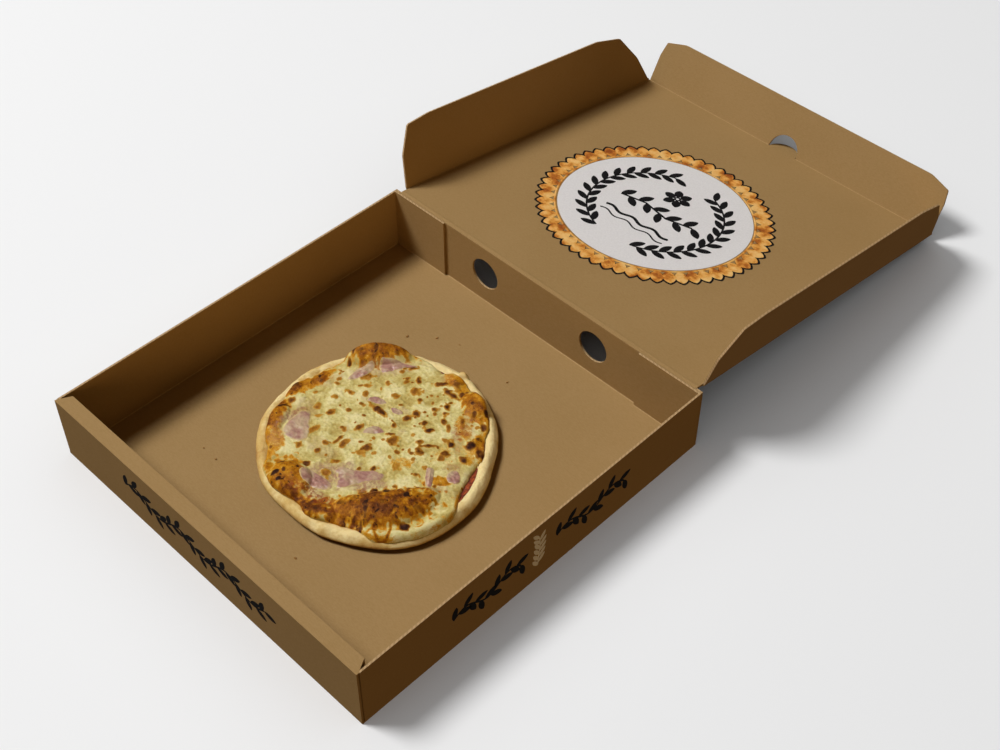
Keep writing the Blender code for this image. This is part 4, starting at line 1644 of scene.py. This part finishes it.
@dataclass(frozen=True)
class BoxPlan:
    """The box's sizes that the folds and the print are laid out from.

    Args:
        board: the board's thickness.
        hinge: depth and height of the lid's hinge line in the tray.
        tilt: how far the open lid leans from level.
        lid_half_width: from the lid's middle to its side creases.
        lid_length: from the hinge to the far crease.
        wall_top: height of the tray's walls.
        wall_back: outer face of the tray's back wall.
        wall_front: outer face of the tray's front wall.
        wall_side: outer face of the tray's right wall.
        flares: how far each flap leans outwards.
        notch: half the width of the thumb notch.
    """

    board: float = 0.0016
    hinge: tuple = (0.1705, 0.0586)
    tilt: float = -8.73
    lid_half_width: float = 0.1595
    lid_length: float = 0.3250
    wall_top: float = 0.0583
    wall_back: float = 0.1692
    wall_front: float = -0.1692
    wall_side: float = 0.1650
    flares: dict = field(
        default_factory=lambda: {Body.LEFT_FLAP: 15.0, Body.RIGHT_FLAP: 12.5, Body.FRONT_FLAP: 21.0}
    )
    notch: float = 0.0153

    def lid(self) -> Matrix:
        """Return the matrix from the lid's own plane to the model's frame."""
        place = Matrix.Translation((0.0, *self.hinge))
        return place @ Matrix.Rotation(math.radians(self.tilt), 4, "X")

    def front_wall(self) -> Matrix:
        """Return the matrix from a flat drawing to the tray's front wall."""
        return Matrix.Translation((0.0, self.wall_front, 0.0)) @ Matrix.Rotation(math.radians(90.0), 4, "X")

    def right_wall(self) -> Matrix:
        """Return the matrix from a flat drawing to the tray's right wall."""
        turn = Matrix.Rotation(math.radians(90.0), 4, "Z") @ Matrix.Rotation(math.radians(90.0), 4, "X")
        return Matrix.Translation((self.wall_side, 0.0, 0.0)) @ turn


@dataclass(frozen=True)
class Folds:
    """The liner that runs on round each crease, so that no slit shows between two boards.

    Args:
        plan: the box's sizes.
        reach: how far the liner laps onto each board.
        proud: how far it stands above the boards.
        steps: lengthwise cuts of a fold.
    """

    plan: BoxPlan = field(default_factory=BoxPlan)
    reach: float = 0.0013
    proud: float = 0.00007
    steps: int = 60

    def build(self, liner: Finish, fold_highlight: Finish) -> None:
        """Make the folds at the lid's hinge and at its three flaps.

        Args:
            liner: the folds' material.
            fold_highlight: the paler kraft on a fold's edge, a painted highlight.
        """
        looks = (liner, fold_highlight)
        plan = self.plan
        half, sides = plan.lid_half_width - 0.0004, (0.0056, plan.lid_length - 0.0008)
        pair = (Body.TRAY, Body.LID)
        self.loft("hinge_fold", self.hinge_section(), (-half, half), Matrix.Identity(4), looks)
        for body, sign in ((Body.LEFT_FLAP, -1), (Body.RIGHT_FLAP, 1)):
            crease = plan.lid() @ Matrix.Translation((sign * plan.lid_half_width, 0.0, 0.0))
            turn = Matrix(((0, sign, 0, 0), (1, 0, 0, 0), (0, 0, 1, 0), (0, 0, 0, 1)))
            section = self.crease_section(plan.flares[body])
            self.loft(f"{body.value}_fold", section, sides, crease @ turn, looks)
        crease = plan.lid() @ Matrix.Translation((0.0, plan.lid_length, 0.0))
        section = self.crease_section(plan.flares[Body.FRONT_FLAP])
        pair, end = (Body.LID, Body.FRONT_FLAP), half - 0.0006
        for side, span in (("left", (-end, -plan.notch)), ("right", (plan.notch, end))):
            self.loft(f"front_flap_fold_{side}", section, span, crease, looks)

    def crease_section(self, flare: float) -> list:
        """Lay out a flap fold's section: outward from the panel and upward, from the crease's line.

        Args:
            flare: how far the flap leans outwards.

        Returns:
            Points all round the section.
        """
        lean = math.radians(flare)
        up = np.array((math.sin(lean), math.cos(lean)))
        out = np.array((math.cos(lean), -math.sin(lean)))
        far, thick = self.reach, self.plan.board + self.proud
        inner = [np.array((-far, self.proud)), np.array((-self.proud, self.proud))]
        inner.append(up * far - out * self.proud)
        outer = [up * far + out * thick]
        for share in np.linspace(0.0, 1.0, 7):
            angle = -lean + share * (lean - math.pi / 2)
            outer.append(thick * np.array((math.cos(angle), math.sin(angle))))
        outer.append(np.array((-far, -thick)))
        return inner + outer

    def hinge_section(self) -> list:
        """Lay out the hinge fold's section in the tray: depth and height.

        Returns:
            Points all round the section.
        """
        plan = self.plan
        axis = np.array(plan.hinge)
        tilt = math.radians(plan.tilt)
        along = np.array((math.cos(tilt), math.sin(tilt)))
        normal = np.array((-math.sin(tilt), math.cos(tilt)))
        top, foot = plan.wall_top + self.proud, plan.wall_top - 0.0009
        inside = plan.wall_back - plan.board - self.proud
        lid_end = axis + along * 0.0016
        section = [
            np.array((inside, foot)),
            np.array((inside, top)),
            np.array((plan.wall_back, top + self.proud)),
            axis - along * 0.0003 + normal * self.proud,
            axis + along * 0.0003 + normal * self.proud,
            lid_end + normal * self.proud,
            lid_end - normal * (plan.board + self.proud),
        ]
        gap = plan.hinge[0] - plan.wall_back - self.proud
        for share in np.linspace(0.0, 1.0, 7):
            angle = tilt - math.pi / 2 - share * (math.pi / 2 + tilt)
            radius = (plan.board + self.proud) * (1 - share) + gap * share
            section.append(axis + radius * np.array((math.cos(angle), math.sin(angle))))
        section.append(np.array((plan.wall_back + self.proud, foot)))
        return section

    def loft(
        self, name: str, section: list, span: tuple, place: Matrix, looks: tuple
    ) -> None:
        """Draw a section out along a crease.

        Args:
            name: the piece's name.
            section: points all round the section, as depth and height.
            span: where the fold starts and ends along the crease.
            place: where the crease is.
            looks: the fold's material and that of its edge, which is paler as a painted highlight.
        """
        count = len(section)
        points, faces = [], []
        for along in np.linspace(span[0], span[1], self.steps + 1):
            points.extend(tuple(place @ Vector((along, p[0], p[1]))) for p in section)
        for step in range(self.steps):
            for k in range(count):
                a, b = step * count + k, step * count + (k + 1) % count
                faces.append((a, b, b + count, a + count))
        faces.append(tuple(range(count)))
        faces.append(tuple(range(len(points) - 1, len(points) - count - 1, -1)))
        made = plain_mesh(name, points, faces)
        for look in looks:
            made.data.materials.append(look)
        # The first face of each ring, on the fold's edge, takes the paler kraft as a painted highlight.
        for step in range(self.steps):
            made.data.polygons[step * count].material_index = 1
        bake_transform(made)
        LOG.info("%s: %d faces", name, len(made.data.polygons))


@dataclass(frozen=True)
class TrayCreases:
    """The creased lines of the tray, drawn in paler kraft as a painted highlight where they catch the light.

    Args:
        plan: the box's sizes.
        size: how far the scored line reaches up a wall and over the floor.
        open_half: from the middle to the glue tabs in the corners.
        ends: where the side lines start and end.
        tab: how far the tabs stand in from the back wall.
    """

    plan: BoxPlan = field(default_factory=BoxPlan)
    size: float = 0.0007
    open_half: float = 0.1048
    ends: tuple = (-0.1560, 0.1640)
    tab: float = 0.0018

    def build(self, liner: Finish) -> None:
        """Make the lines at the foot of the back wall, the side walls and the glue tabs.

        Args:
            liner: the lines' material, paler kraft as a painted highlight.
        """
        plan = self.plan
        floor, back = plan.board, plan.wall_back - plan.board
        side = plan.wall_side - plan.board
        left, right = Vector((-self.open_half, back, floor)), Vector((self.open_half, back, floor))
        self.line("back_foot_crease", left, right, (0, -1), liner)
        for sign, name in ((-1, "left"), (1, "right")):
            start, end = (Vector((sign * side, depth, floor)) for depth in self.ends)
            self.line(f"{name}_foot_crease", start, end, (-sign, 0), liner)
            inner = Vector((sign * 0.1050, back - self.tab, floor))
            outer = Vector((sign * (side - 0.0004), back - self.tab, floor))
            self.line(f"{name}_corner_crease", inner, outer, (0, -1), liner)

    def line(self, name: str, start: Vector, end: Vector, way: tuple, liner: Finish) -> None:
        """Lay a hollow-cheeked strip in the corner between the floor and a wall.

        Args:
            name: the piece's name.
            start: the corner's start.
            end: the corner's end.
            way: from the wall into the tray.
            liner: the strip's material, paler kraft as a painted highlight.
        """
        inward, up = Vector((*way, 0.0)), OVERHEAD
        section = [-inward * 0.0001 - up * 0.0001, inward * self.size - up * 0.00005]
        section += [(inward * self.size + up * self.size) * 0.35, up * self.size - inward * 0.00005]
        points = [tuple(start + p) for p in section] + [tuple(end + p) for p in section]
        faces = [(0, 1, 5, 4), (1, 2, 6, 5), (2, 3, 7, 6), (3, 0, 4, 7), (3, 2, 1, 0), (4, 5, 6, 7)]
        dress(plain_mesh(name, points, faces), liner, Body.TRAY)


@dataclass(frozen=True)
class Row:
    """A printed row: a stem with leaves or petals along it, on a flat drawing in millimetres.

    Args:
        points: the stem's path.
        count: how many leaves stand along it.
        leaf: a leaf's length and width.
        tilt: angle between a leaf and the stem.
        stem: the stem's width.
        cyclic: whether the path closes.
        paired: whether the leaves stand on both sides in turn.
    """

    points: tuple
    count: int
    leaf: tuple
    tilt: float
    stem: float
    cyclic: bool = False
    paired: bool = True


def arc_points(radius: float, start: float, end: float, count: int, centre: tuple = (0.0, 0.0)) -> tuple:
    """Lay out an arc on a flat drawing.

    Args:
        radius: the arc's radius.
        start: where it starts, in degrees.
        end: where it ends.
        count: how many points it has.
        centre: its middle.

    Returns:
        Its points.
    """
    turns = np.radians(np.linspace(start, end, count))
    return tuple((centre[0] + radius * math.cos(t), centre[1] + radius * math.sin(t)) for t in turns)


def round_points(radius: float, count: int, centre: tuple = (0.0, 0.0)) -> tuple:
    """Return even points all the way round a circle on a flat drawing."""
    return arc_points(radius, 0.0, 360.0 - 360.0 / count, count, centre)


def wave_points(start: float, end: float, height: float, swing: float, waves: float) -> tuple:
    """Lay out a wavy line on a flat drawing.

    Args:
        start: where it starts along the drawing.
        end: where it ends.
        height: its mean height.
        swing: how far it swings.
        waves: how many waves it has.

    Returns:
        Its points.
    """
    shares = np.linspace(0.0, 1.0, 80)
    return tuple(
        (start + (end - start) * t, height + swing * math.sin(2 * math.pi * waves * t)) for t in shares
    )


@dataclass
class Print:
    """The plain decorative print, laid as thin ink on the boards.

    Args:
        plan: the box's sizes.
        ink: how thick the ink lies.
    """

    plan: BoxPlan = field(default_factory=BoxPlan)
    ink: float = 0.00003

    def tree(self) -> Shapes:
        """Build the tree that draws a row of leaves along a stem.

        Returns:
            The tree.
        """
        shapes = Shapes("leaf_row")
        count = shapes.size("Leaf Count", "NodeSocketInt")
        length, width, tilt, paired, stem, ink = (
            shapes.size(name)
            for name in ("Leaf Length", "Leaf Width", "Leaf Tilt", "Paired", "Stem Width", "Ink Thickness")
        )
        finish = shapes.size("Ink", "NodeSocketMaterial")
        path = shapes.start.outputs[0]
        spaced = shapes.node("GeometryNodeResampleCurve", {"Curve": path, "Count": count}).outputs[0]
        round_leaf = {"Vertices": 18, "Radius": 0.5, "Depth": ink}
        disc = shapes.node("GeometryNodeMeshCylinder", round_leaf).outputs[0]
        place = shapes.node("GeometryNodeInputPosition", {}).outputs[0]
        split = shapes.node("ShaderNodeSeparateXYZ", {0: place}).outputs
        slim = shapes.maths("POWER", shapes.maths("MULTIPLY", shapes.maths("ABSOLUTE", split[1]), 2.0), 0.55)
        across = shapes.maths("MULTIPLY", shapes.maths("MULTIPLY", split[1], slim), width)
        along = shapes.maths("MULTIPLY", shapes.maths("ADD", split[0], 0.5), length)
        moved = shapes.node("ShaderNodeCombineXYZ", {0: along, 1: across, 2: split[2]}).outputs[0]
        leaf = shapes.node("GeometryNodeSetPosition", {"Geometry": disc, "Position": moved}).outputs[0]
        tangent = shapes.node("GeometryNodeInputTangent", {}).outputs[0]
        turned = shapes.node("FunctionNodeAlignRotationToVector", {"Vector": tangent}, axis="X").outputs[0]
        index = shapes.node("GeometryNodeInputIndex", {}).outputs[0]
        odd = shapes.maths("MULTIPLY", shapes.maths("MODULO", index, 2.0), paired)
        side = shapes.maths("SUBTRACT", 1.0, shapes.maths("MULTIPLY", odd, 2.0))
        angle = shapes.maths("MULTIPLY", tilt, side)
        lean = shapes.node("ShaderNodeCombineXYZ", {2: angle}).outputs[0]
        spin = shapes.node("FunctionNodeEulerToRotation", {0: lean}).outputs[0]
        final = shapes.node(
            "FunctionNodeRotateRotation", {0: turned, 1: spin}, rotation_space="LOCAL"
        ).outputs[0]
        leaves = shapes.node(
            "GeometryNodeInstanceOnPoints", {"Points": spaced, "Instance": leaf, "Rotation": final}
        ).outputs[0]
        layer = shapes.maths("ADD", 1.0, shapes.maths("MODULO", index, 2.0))
        height = shapes.maths("MULTIPLY", layer, shapes.maths("MULTIPLY", ink, 0.2))
        rise = shapes.node("ShaderNodeCombineXYZ", {2: height})
        lifted = {"Instances": leaves, "Translation": rise.outputs[0], "Local Space": False}
        leaves = shapes.node("GeometryNodeTranslateInstances", lifted).outputs[0]
        profile = shapes.node("GeometryNodeCurvePrimitiveQuadrilateral", {0: stem, 1: ink}).outputs[0]
        line = shapes.node(
            "GeometryNodeCurveToMesh", {"Curve": path, "Profile Curve": profile, "Fill Caps": True}
        ).outputs[0]
        joined = shapes.node("GeometryNodeJoinGeometry", {})
        shapes.tree.links.new(leaves, joined.inputs[0])
        shapes.tree.links.new(line, joined.inputs[0])
        shapes.close(joined.outputs[0], finish)
        return shapes

    def draw(
        self, name: str, rows: tuple, ink: Finish, place: Matrix, body: Body, lift: float = 0.0
    ) -> None:
        """Print some rows of one colour as one piece.

        Args:
            name: the piece's name.
            rows: the rows.
            ink: their colour.
            place: from the drawing to the board.
            body: the body that the board rides on.
            lift: how far above the board the ink starts, where it lies on another ink.
        """
        shapes = self.tree()
        parts = []
        for row in rows:
            host = path_object([(x * MILLIMETRE, y * MILLIMETRE) for x, y in row.points], row.cyclic)
            values = {
                "Leaf Count": row.count,
                "Leaf Length": row.leaf[0] * MILLIMETRE,
                "Leaf Width": row.leaf[1] * MILLIMETRE,
                "Leaf Tilt": math.radians(row.tilt),
                "Paired": float(row.paired),
                "Stem Width": row.stem * MILLIMETRE,
                "Ink Thickness": 2 * self.ink,
                "Ink": ink,
            }
            parts.append(shapes.grow(host, name, values, place @ Matrix.Translation((0.0, 0.0, lift))))
        self.lay(name, parts, ink, body)

    def lay(self, name: str, parts: list, ink: Finish, body: Body) -> None:
        """Join printed parts into one piece and let it ride on its board.

        Args:
            name: the piece's name.
            parts: the parts, which are used up.
            ink: their colour.
            body: the body that the board rides on.
        """
        shape = bmesh.new()
        for part in parts:
            shape.from_mesh(part.data)
            bpy.data.objects.remove(part)
        bmesh.ops.recalc_face_normals(shape, faces=shape.faces)
        data = bpy.data.meshes.new(name)
        shape.to_mesh(data)
        shape.free()
        dress(placed(name, data), ink, body)

    def disc(self, radius: float, place: Matrix, lift: float, count: int = 120) -> Piece:
        """Make a round field of ink.

        Args:
            radius: the field's radius in millimetres.
            place: from the drawing to the board.
            lift: how far above the board its middle lies.
            count: corners round it.

        Returns:
            The field.
        """
        points = []
        for height in (lift - self.ink, lift + self.ink):
            for x, y in round_points(radius, count):
                points.append(tuple(place @ Vector((x * MILLIMETRE, y * MILLIMETRE, height))))
        faces = [tuple(range(count)), tuple(range(count, 2 * count))]
        faces += [(k, (k + 1) % count, count + (k + 1) % count, count + k) for k in range(count)]
        return plain_mesh("field", points, faces)

    def build(self) -> None:
        """Print the lid's round emblem and the rows of leaves on the front and right walls."""
        white = PlainFinish("white_ink", Colour(0.76, 0.755, 0.765), 0.8, 0.03, 0.1).build()
        black = PlainFinish("black_ink", Colour(0.008, 0.008, 0.009), 0.9, 0.15, 0.1).build()
        amber = BakedInk().build()
        self.emblem(white, black, amber)
        self.walls(black)

    def emblem(self, white: Finish, black: Finish, amber: Finish) -> None:
        """Print the lid's emblem: a pale field in a border of amber petals, with a plain wreath.

        Args:
            white: the pale ink.
            black: the dark ink.
            amber: the border's ink.
        """
        place = self.plan.lid() @ Matrix.Translation((-0.009, 0.153, 0.0))
        ring = round_points(86.0, 60)
        border = Row(ring, 58, (15.5, 11.0), -90.0, 2.0, True, False)
        outline = Row(ring, 58, (17.8, 13.4), -90.0, 2.0, True, False)
        self.draw("lid_print_outline", (outline,), black, place, Body.LID)
        self.draw("lid_print_border", (border,), amber, place, Body.LID, 0.00005)
        self.lay("lid_print_field", [self.disc(84.0, place, 0.00011)], white, Body.LID)
        wreath = []
        for start, end in ((252.0, 112.0), (288.0, 428.0)):
            wreath.append(Row(arc_points(59.0, start, end, 40), 24, (14.5, 6.2), 38.0, 1.6))
        sprig = Row(((-36.0, -3.0), (-13.0, 3.0), (13.0, -2.0), (36.0, 5.0)), 10, (15.0, 7.2), 50.0, 2.2)
        heart = round_points(2.5, 6, (0.0, 30.0))
        bloom = Row(heart, 6, (11.0, 8.0), -90.0, 2.0, True, False)
        waves = [
            Row(wave_points(-34.0, 34.0, height, 1.8, 3.0), 2, (0.6, 0.6), 0.0, width)
            for height, width in ((-25.0, 3.0), (-33.0, 1.6))
        ]
        self.draw("lid_print_wreath", (*wreath, sprig, bloom, *waves), black, place, Body.LID, 0.00016)

    def walls(self, black: Finish) -> None:
        """Print a leafy vine on each outer wall that shows, with a pale sprig on the right one.

        Args:
            black: the dark ink.
        """
        front, right = self.plan.front_wall(), self.plan.right_wall()
        vine = Row(wave_points(-86.0, 70.0, 31.0, 5.5, 3.0), 32, (12.5, 5.4), 42.0, 1.8)
        self.draw("front_wall_print", (vine,), black, front, Body.TRAY)
        pieces = []
        for start, end in ((-86.0, -22.0), (14.0, 84.0)):
            pieces.append(Row(wave_points(start, end, 31.0, 5.0, 1.5), 14, (12.5, 5.4), 42.0, 1.8))
        self.draw("right_wall_print", tuple(pieces), black, right, Body.TRAY)
        bright = PlainFinish("bright_ink", Colour(0.95, 0.95, 0.96), 0.7, 0.02, 0.2).build()
        sprig = Row(((-5.0, 15.0), (-4.0, 26.0), (-3.0, 36.0), (-3.6, 44.0)), 11, (9.5, 3.6), 38.0, 1.2)
        self.draw("right_wall_sprig", (sprig,), bright, right, Body.TRAY)


@dataclass
class Boards:
    """The box's boards, which keep their solids and get their materials.

    Args:
        nodes: the frame's nodes by name.
        roll: how wide the rolled front edge is, whose top isn't cut.
        vent_offset: from the middle to a steam vent's centre.
        vent_reach: a little more than a vent's radius.
    """

    nodes: dict
    roll: float = 0.013
    vent_offset: float = 0.0592
    vent_reach: float = 0.017

    def build(self, kraft: Finish) -> None:
        """Dress every board with kraft, and its cut edges with paler paper.

        Args:
            kraft: the liner's material.
        """
        raw = FlutedFinish().build()
        for name in ("tray", "lid_panel", "lid_left_flap", "lid_right_flap", "lid_front_flap"):
            board = self.nodes[name]
            board.data.materials.clear()
            board.data.materials.append(kraft)
            board.data.materials.append(raw)
            if name == "tray":
                self.mark_tray(board)
            else:
                self.mark_flat(board)
            LOG.info("%s: dressed", name)

    def mark_flat(self, board: Piece) -> None:
        """Give the narrow faces of a flat board the raw material.

        Args:
            board: the board's object.
        """
        widest = max(board.data.polygons, key=lambda face: face.area)
        normal = widest.normal.copy()
        for face in board.data.polygons:
            face.material_index = 1 if abs(face.normal.dot(normal)) < 0.5 else 0

    def mark_tray(self, tray: Piece) -> None:
        """Give the tops of the tray's cut walls and the vents' rims the raw material.

        Args:
            tray: the tray's object.
        """
        low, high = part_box("tray")
        for face in tray.data.polygons:
            centre = face.center
            level = face.normal.z > 0.9 and centre.z > high.z - 0.0005
            on_top = level and centre.y > low.y + self.roll
            vent = centre.y > high.y - 0.0017 and abs(face.normal.y) < 0.3 and 0.012 < centre.z < 0.05
            in_vent = vent and abs(abs(centre.x) - self.vent_offset) < self.vent_reach
            face.material_index = 1 if on_top or in_vent else 0


@dataclass(frozen=True)
class PhotoView:
    """The photograph's camera.

    Args:
        azimuth: bearing of the camera, 0 looking along +Y.
        elevation: its height above the horizon.
        roll: its tilt.
        distance: how far it stands from the target.
        target: what it looks at.
        focal_length: in pixels of the photograph.
        image_width: the photograph's width in pixels.
    """

    azimuth: float = 44.46
    elevation: float = 46.43
    roll: float = 0.21
    distance: float = 1.198
    target: Vector = field(default_factory=lambda: Vector((0.0084, 0.1166, 0.0)))
    focal_length: float = 1512.0
    image_width: float = 1000.0

    def build(self) -> Piece:
        """Make the camera.

        Returns:
            The camera, set as the scene's own.
        """
        azimuth, elevation, roll = (math.radians(a) for a in (self.azimuth, self.elevation, self.roll))
        level = math.cos(elevation)
        back = Vector((math.sin(azimuth) * level, -math.cos(azimuth) * level, math.sin(elevation)))
        right = Vector((math.cos(azimuth), math.sin(azimuth), 0.0))
        up = back.cross(right)
        side = right * math.cos(roll) + up * math.sin(roll)
        top = up * math.cos(roll) - right * math.sin(roll)
        data = bpy.data.cameras.new("photo_view")
        data.sensor_width = 36.0
        data.lens = self.focal_length / self.image_width * data.sensor_width
        data.clip_start = 0.02
        camera = placed("photo_view", data)
        turned = Matrix((side, top, back)).transposed().to_4x4()
        camera.matrix_world = Matrix.Translation(self.target + back * self.distance) @ turned
        bpy.context.scene.camera = camera
        return camera


@dataclass(frozen=True)
class Studio:
    """The pale floor and the soft light.

    Args:
        key_power: the key light's power on everything.
        boost_power: further power of a key spot on the object alone.
        fill: strength of the warm light from all round that only the object gets.
        side_glow: strength of the low warm light on the walls that face away from the key.
        floor_lift: strength of the light from all round that only the floor gets.
        pizza_glow: strength of the soft light from the right that only the pizza gets.
        reach: how far off the lights hang.
        half_floor: half the floor's width.
        aim: the place that they light.
        direction: from that place to the key light.
        side: from that place along the floor to the soft light from the right.
        warm: the colour of light that has bounced off kraft.
    """

    key_power: float = 274.0
    boost_power: float = 2000.0
    fill: float = 0.30
    side_glow: float = 0.54
    floor_lift: float = 1.10
    pizza_glow: float = 0.56
    reach: float = 6.0
    half_floor: float = 6.0
    aim: Vector = field(default_factory=lambda: Vector((0.01, 0.05, 0.0)))
    direction: Vector = field(default_factory=lambda: Vector((-0.95, -0.62, 1.75)).normalized())
    side: tuple = (0.88, -0.46)
    warm: tuple = (1.0, 0.62, 0.26)

    def build(self) -> None:
        """Make the floor, the lights and the surrounding light."""
        floor = self.floor()
        self.surroundings()
        key = bpy.data.lights.new("key", "AREA")
        key.shape = "DISK"
        key.size = 2.05
        key.energy = self.key_power
        self.hang(key, self.direction)
        boost = bpy.data.lights.new("key_boost", "SPOT")
        boost.spot_size = math.radians(9.2)
        boost.spot_blend = 1.0
        boost.shadow_soft_size = 0.97
        boost.energy = self.boost_power
        not_floor = self.receivers("not_the_floor", [floor], "EXCLUDE")
        self.hang(boost, self.direction).light_linking.receiver_collection = not_floor
        low, half_high = Vector((*self.side, 0.09)).normalized(), Vector((*self.side, 0.50)).normalized()
        self.sun("warm_fill", self.fill, 165.0, self.warm, OVERHEAD, not_floor)
        self.sun("side_glow", self.side_glow, 20.0, self.warm, low, not_floor)
        food = [piece for piece in bpy.context.scene.objects if piece.name.startswith(FOOD)]
        only_food = self.receivers("only_the_pizza", food, "INCLUDE")
        self.sun("pizza_glow", self.pizza_glow, 70.0, (1.0, 0.93, 0.80), half_high, only_food)
        only_floor = self.receivers("only_the_floor", [floor], "INCLUDE")
        self.sun("floor_lift", self.floor_lift, 120.0, (1.0, 1.0, 1.0), OVERHEAD, only_floor)
        bpy.context.scene.view_settings.view_transform = "Standard"

    def sun(
        self, name: str, power: float, spread: float, colour: tuple, way: Vector, lit: bpy.types.Collection
    ) -> None:
        """Hang a broad light from far off that reaches only some pieces.

        Args:
            name: the light's name.
            power: its strength.
            spread: how broad it looks, in degrees.
            colour: its colour.
            way: from the object to the light.
            lit: the pieces that it reaches.
        """
        data = bpy.data.lights.new(name, "SUN")
        data.energy = power
        data.angle = math.radians(spread)
        data.color = colour
        self.hang(data, way).light_linking.receiver_collection = lit

    def receivers(self, name: str, pieces: list, state: str) -> bpy.types.Collection:
        """Gather the pieces that a light reaches, or those that it leaves out.

        Args:
            name: the collection's name.
            pieces: the pieces.
            state: INCLUDE or EXCLUDE.

        Returns:
            The collection.
        """
        group = bpy.data.collections.new(name)
        for piece in pieces:
            group.objects.link(piece)
        for member in group.collection_objects:
            member.light_linking.link_state = state
        return group

    def floor(self) -> Piece:
        """Make the plain floor.

        Returns:
            The floor object.
        """
        data = bpy.data.meshes.new("studio_floor")
        far = self.half_floor
        corners = [(-far, -far, 0), (far, -far, 0), (far, far, 0), (-far, far, 0)]
        data.from_pydata(corners, [], [(0, 1, 2, 3)])
        floor = placed("studio_floor", data)
        graph = Graph("studio_floor")
        data.materials.append(graph.surface(Colour(0.86, 0.86, 0.86), 0.9, 0.1))
        floor.visible_diffuse = False
        floor.visible_glossy = False
        return floor

    def surroundings(self) -> None:
        """Set a pale surrounding that glossy surfaces mirror but that lights nothing else."""
        world = bpy.data.worlds.new("studio_air")
        bpy.context.scene.world = world
        world.use_nodes = True
        air = world.node_tree.nodes["Background"]
        air.inputs["Color"].default_value = (1.0, 0.97, 0.93, 1.0)
        air.inputs["Strength"].default_value = 0.22
        world.cycles_visibility.diffuse = False

    def hang(self, data: bpy.types.Light, way: Vector) -> Piece:
        """Hang a light so that it faces the object.

        Args:
            data: the light.
            way: from the object to the light.

        Returns:
            The light's object.
        """
        lamp = placed(data.name, data)
        lamp.location = self.aim + way * self.reach
        lamp.rotation_euler = way.to_track_quat("Z", "Y").to_euler()
        return lamp


def main() -> None:
    """Dress the frame."""
    logging.basicConfig(level=logging.INFO, format="%(name)s %(message)s")
    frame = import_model()
    kraft = KraftFinish().build()
    # Paler kraft along the edges of folds and creases: a painted highlight.
    fold_highlight = PlainFinish("scored_kraft", Colour(0.43, 0.285, 0.128), 0.75, 0.10).build()
    Boards(frame["nodes"]).build(kraft)
    Folds().build(kraft, fold_highlight)
    TrayCreases().build(fold_highlight)
    Print().build()
    Pizza().build()
    Studio().build()
    PhotoView().build()


if __name__ == "__main__":
    main()
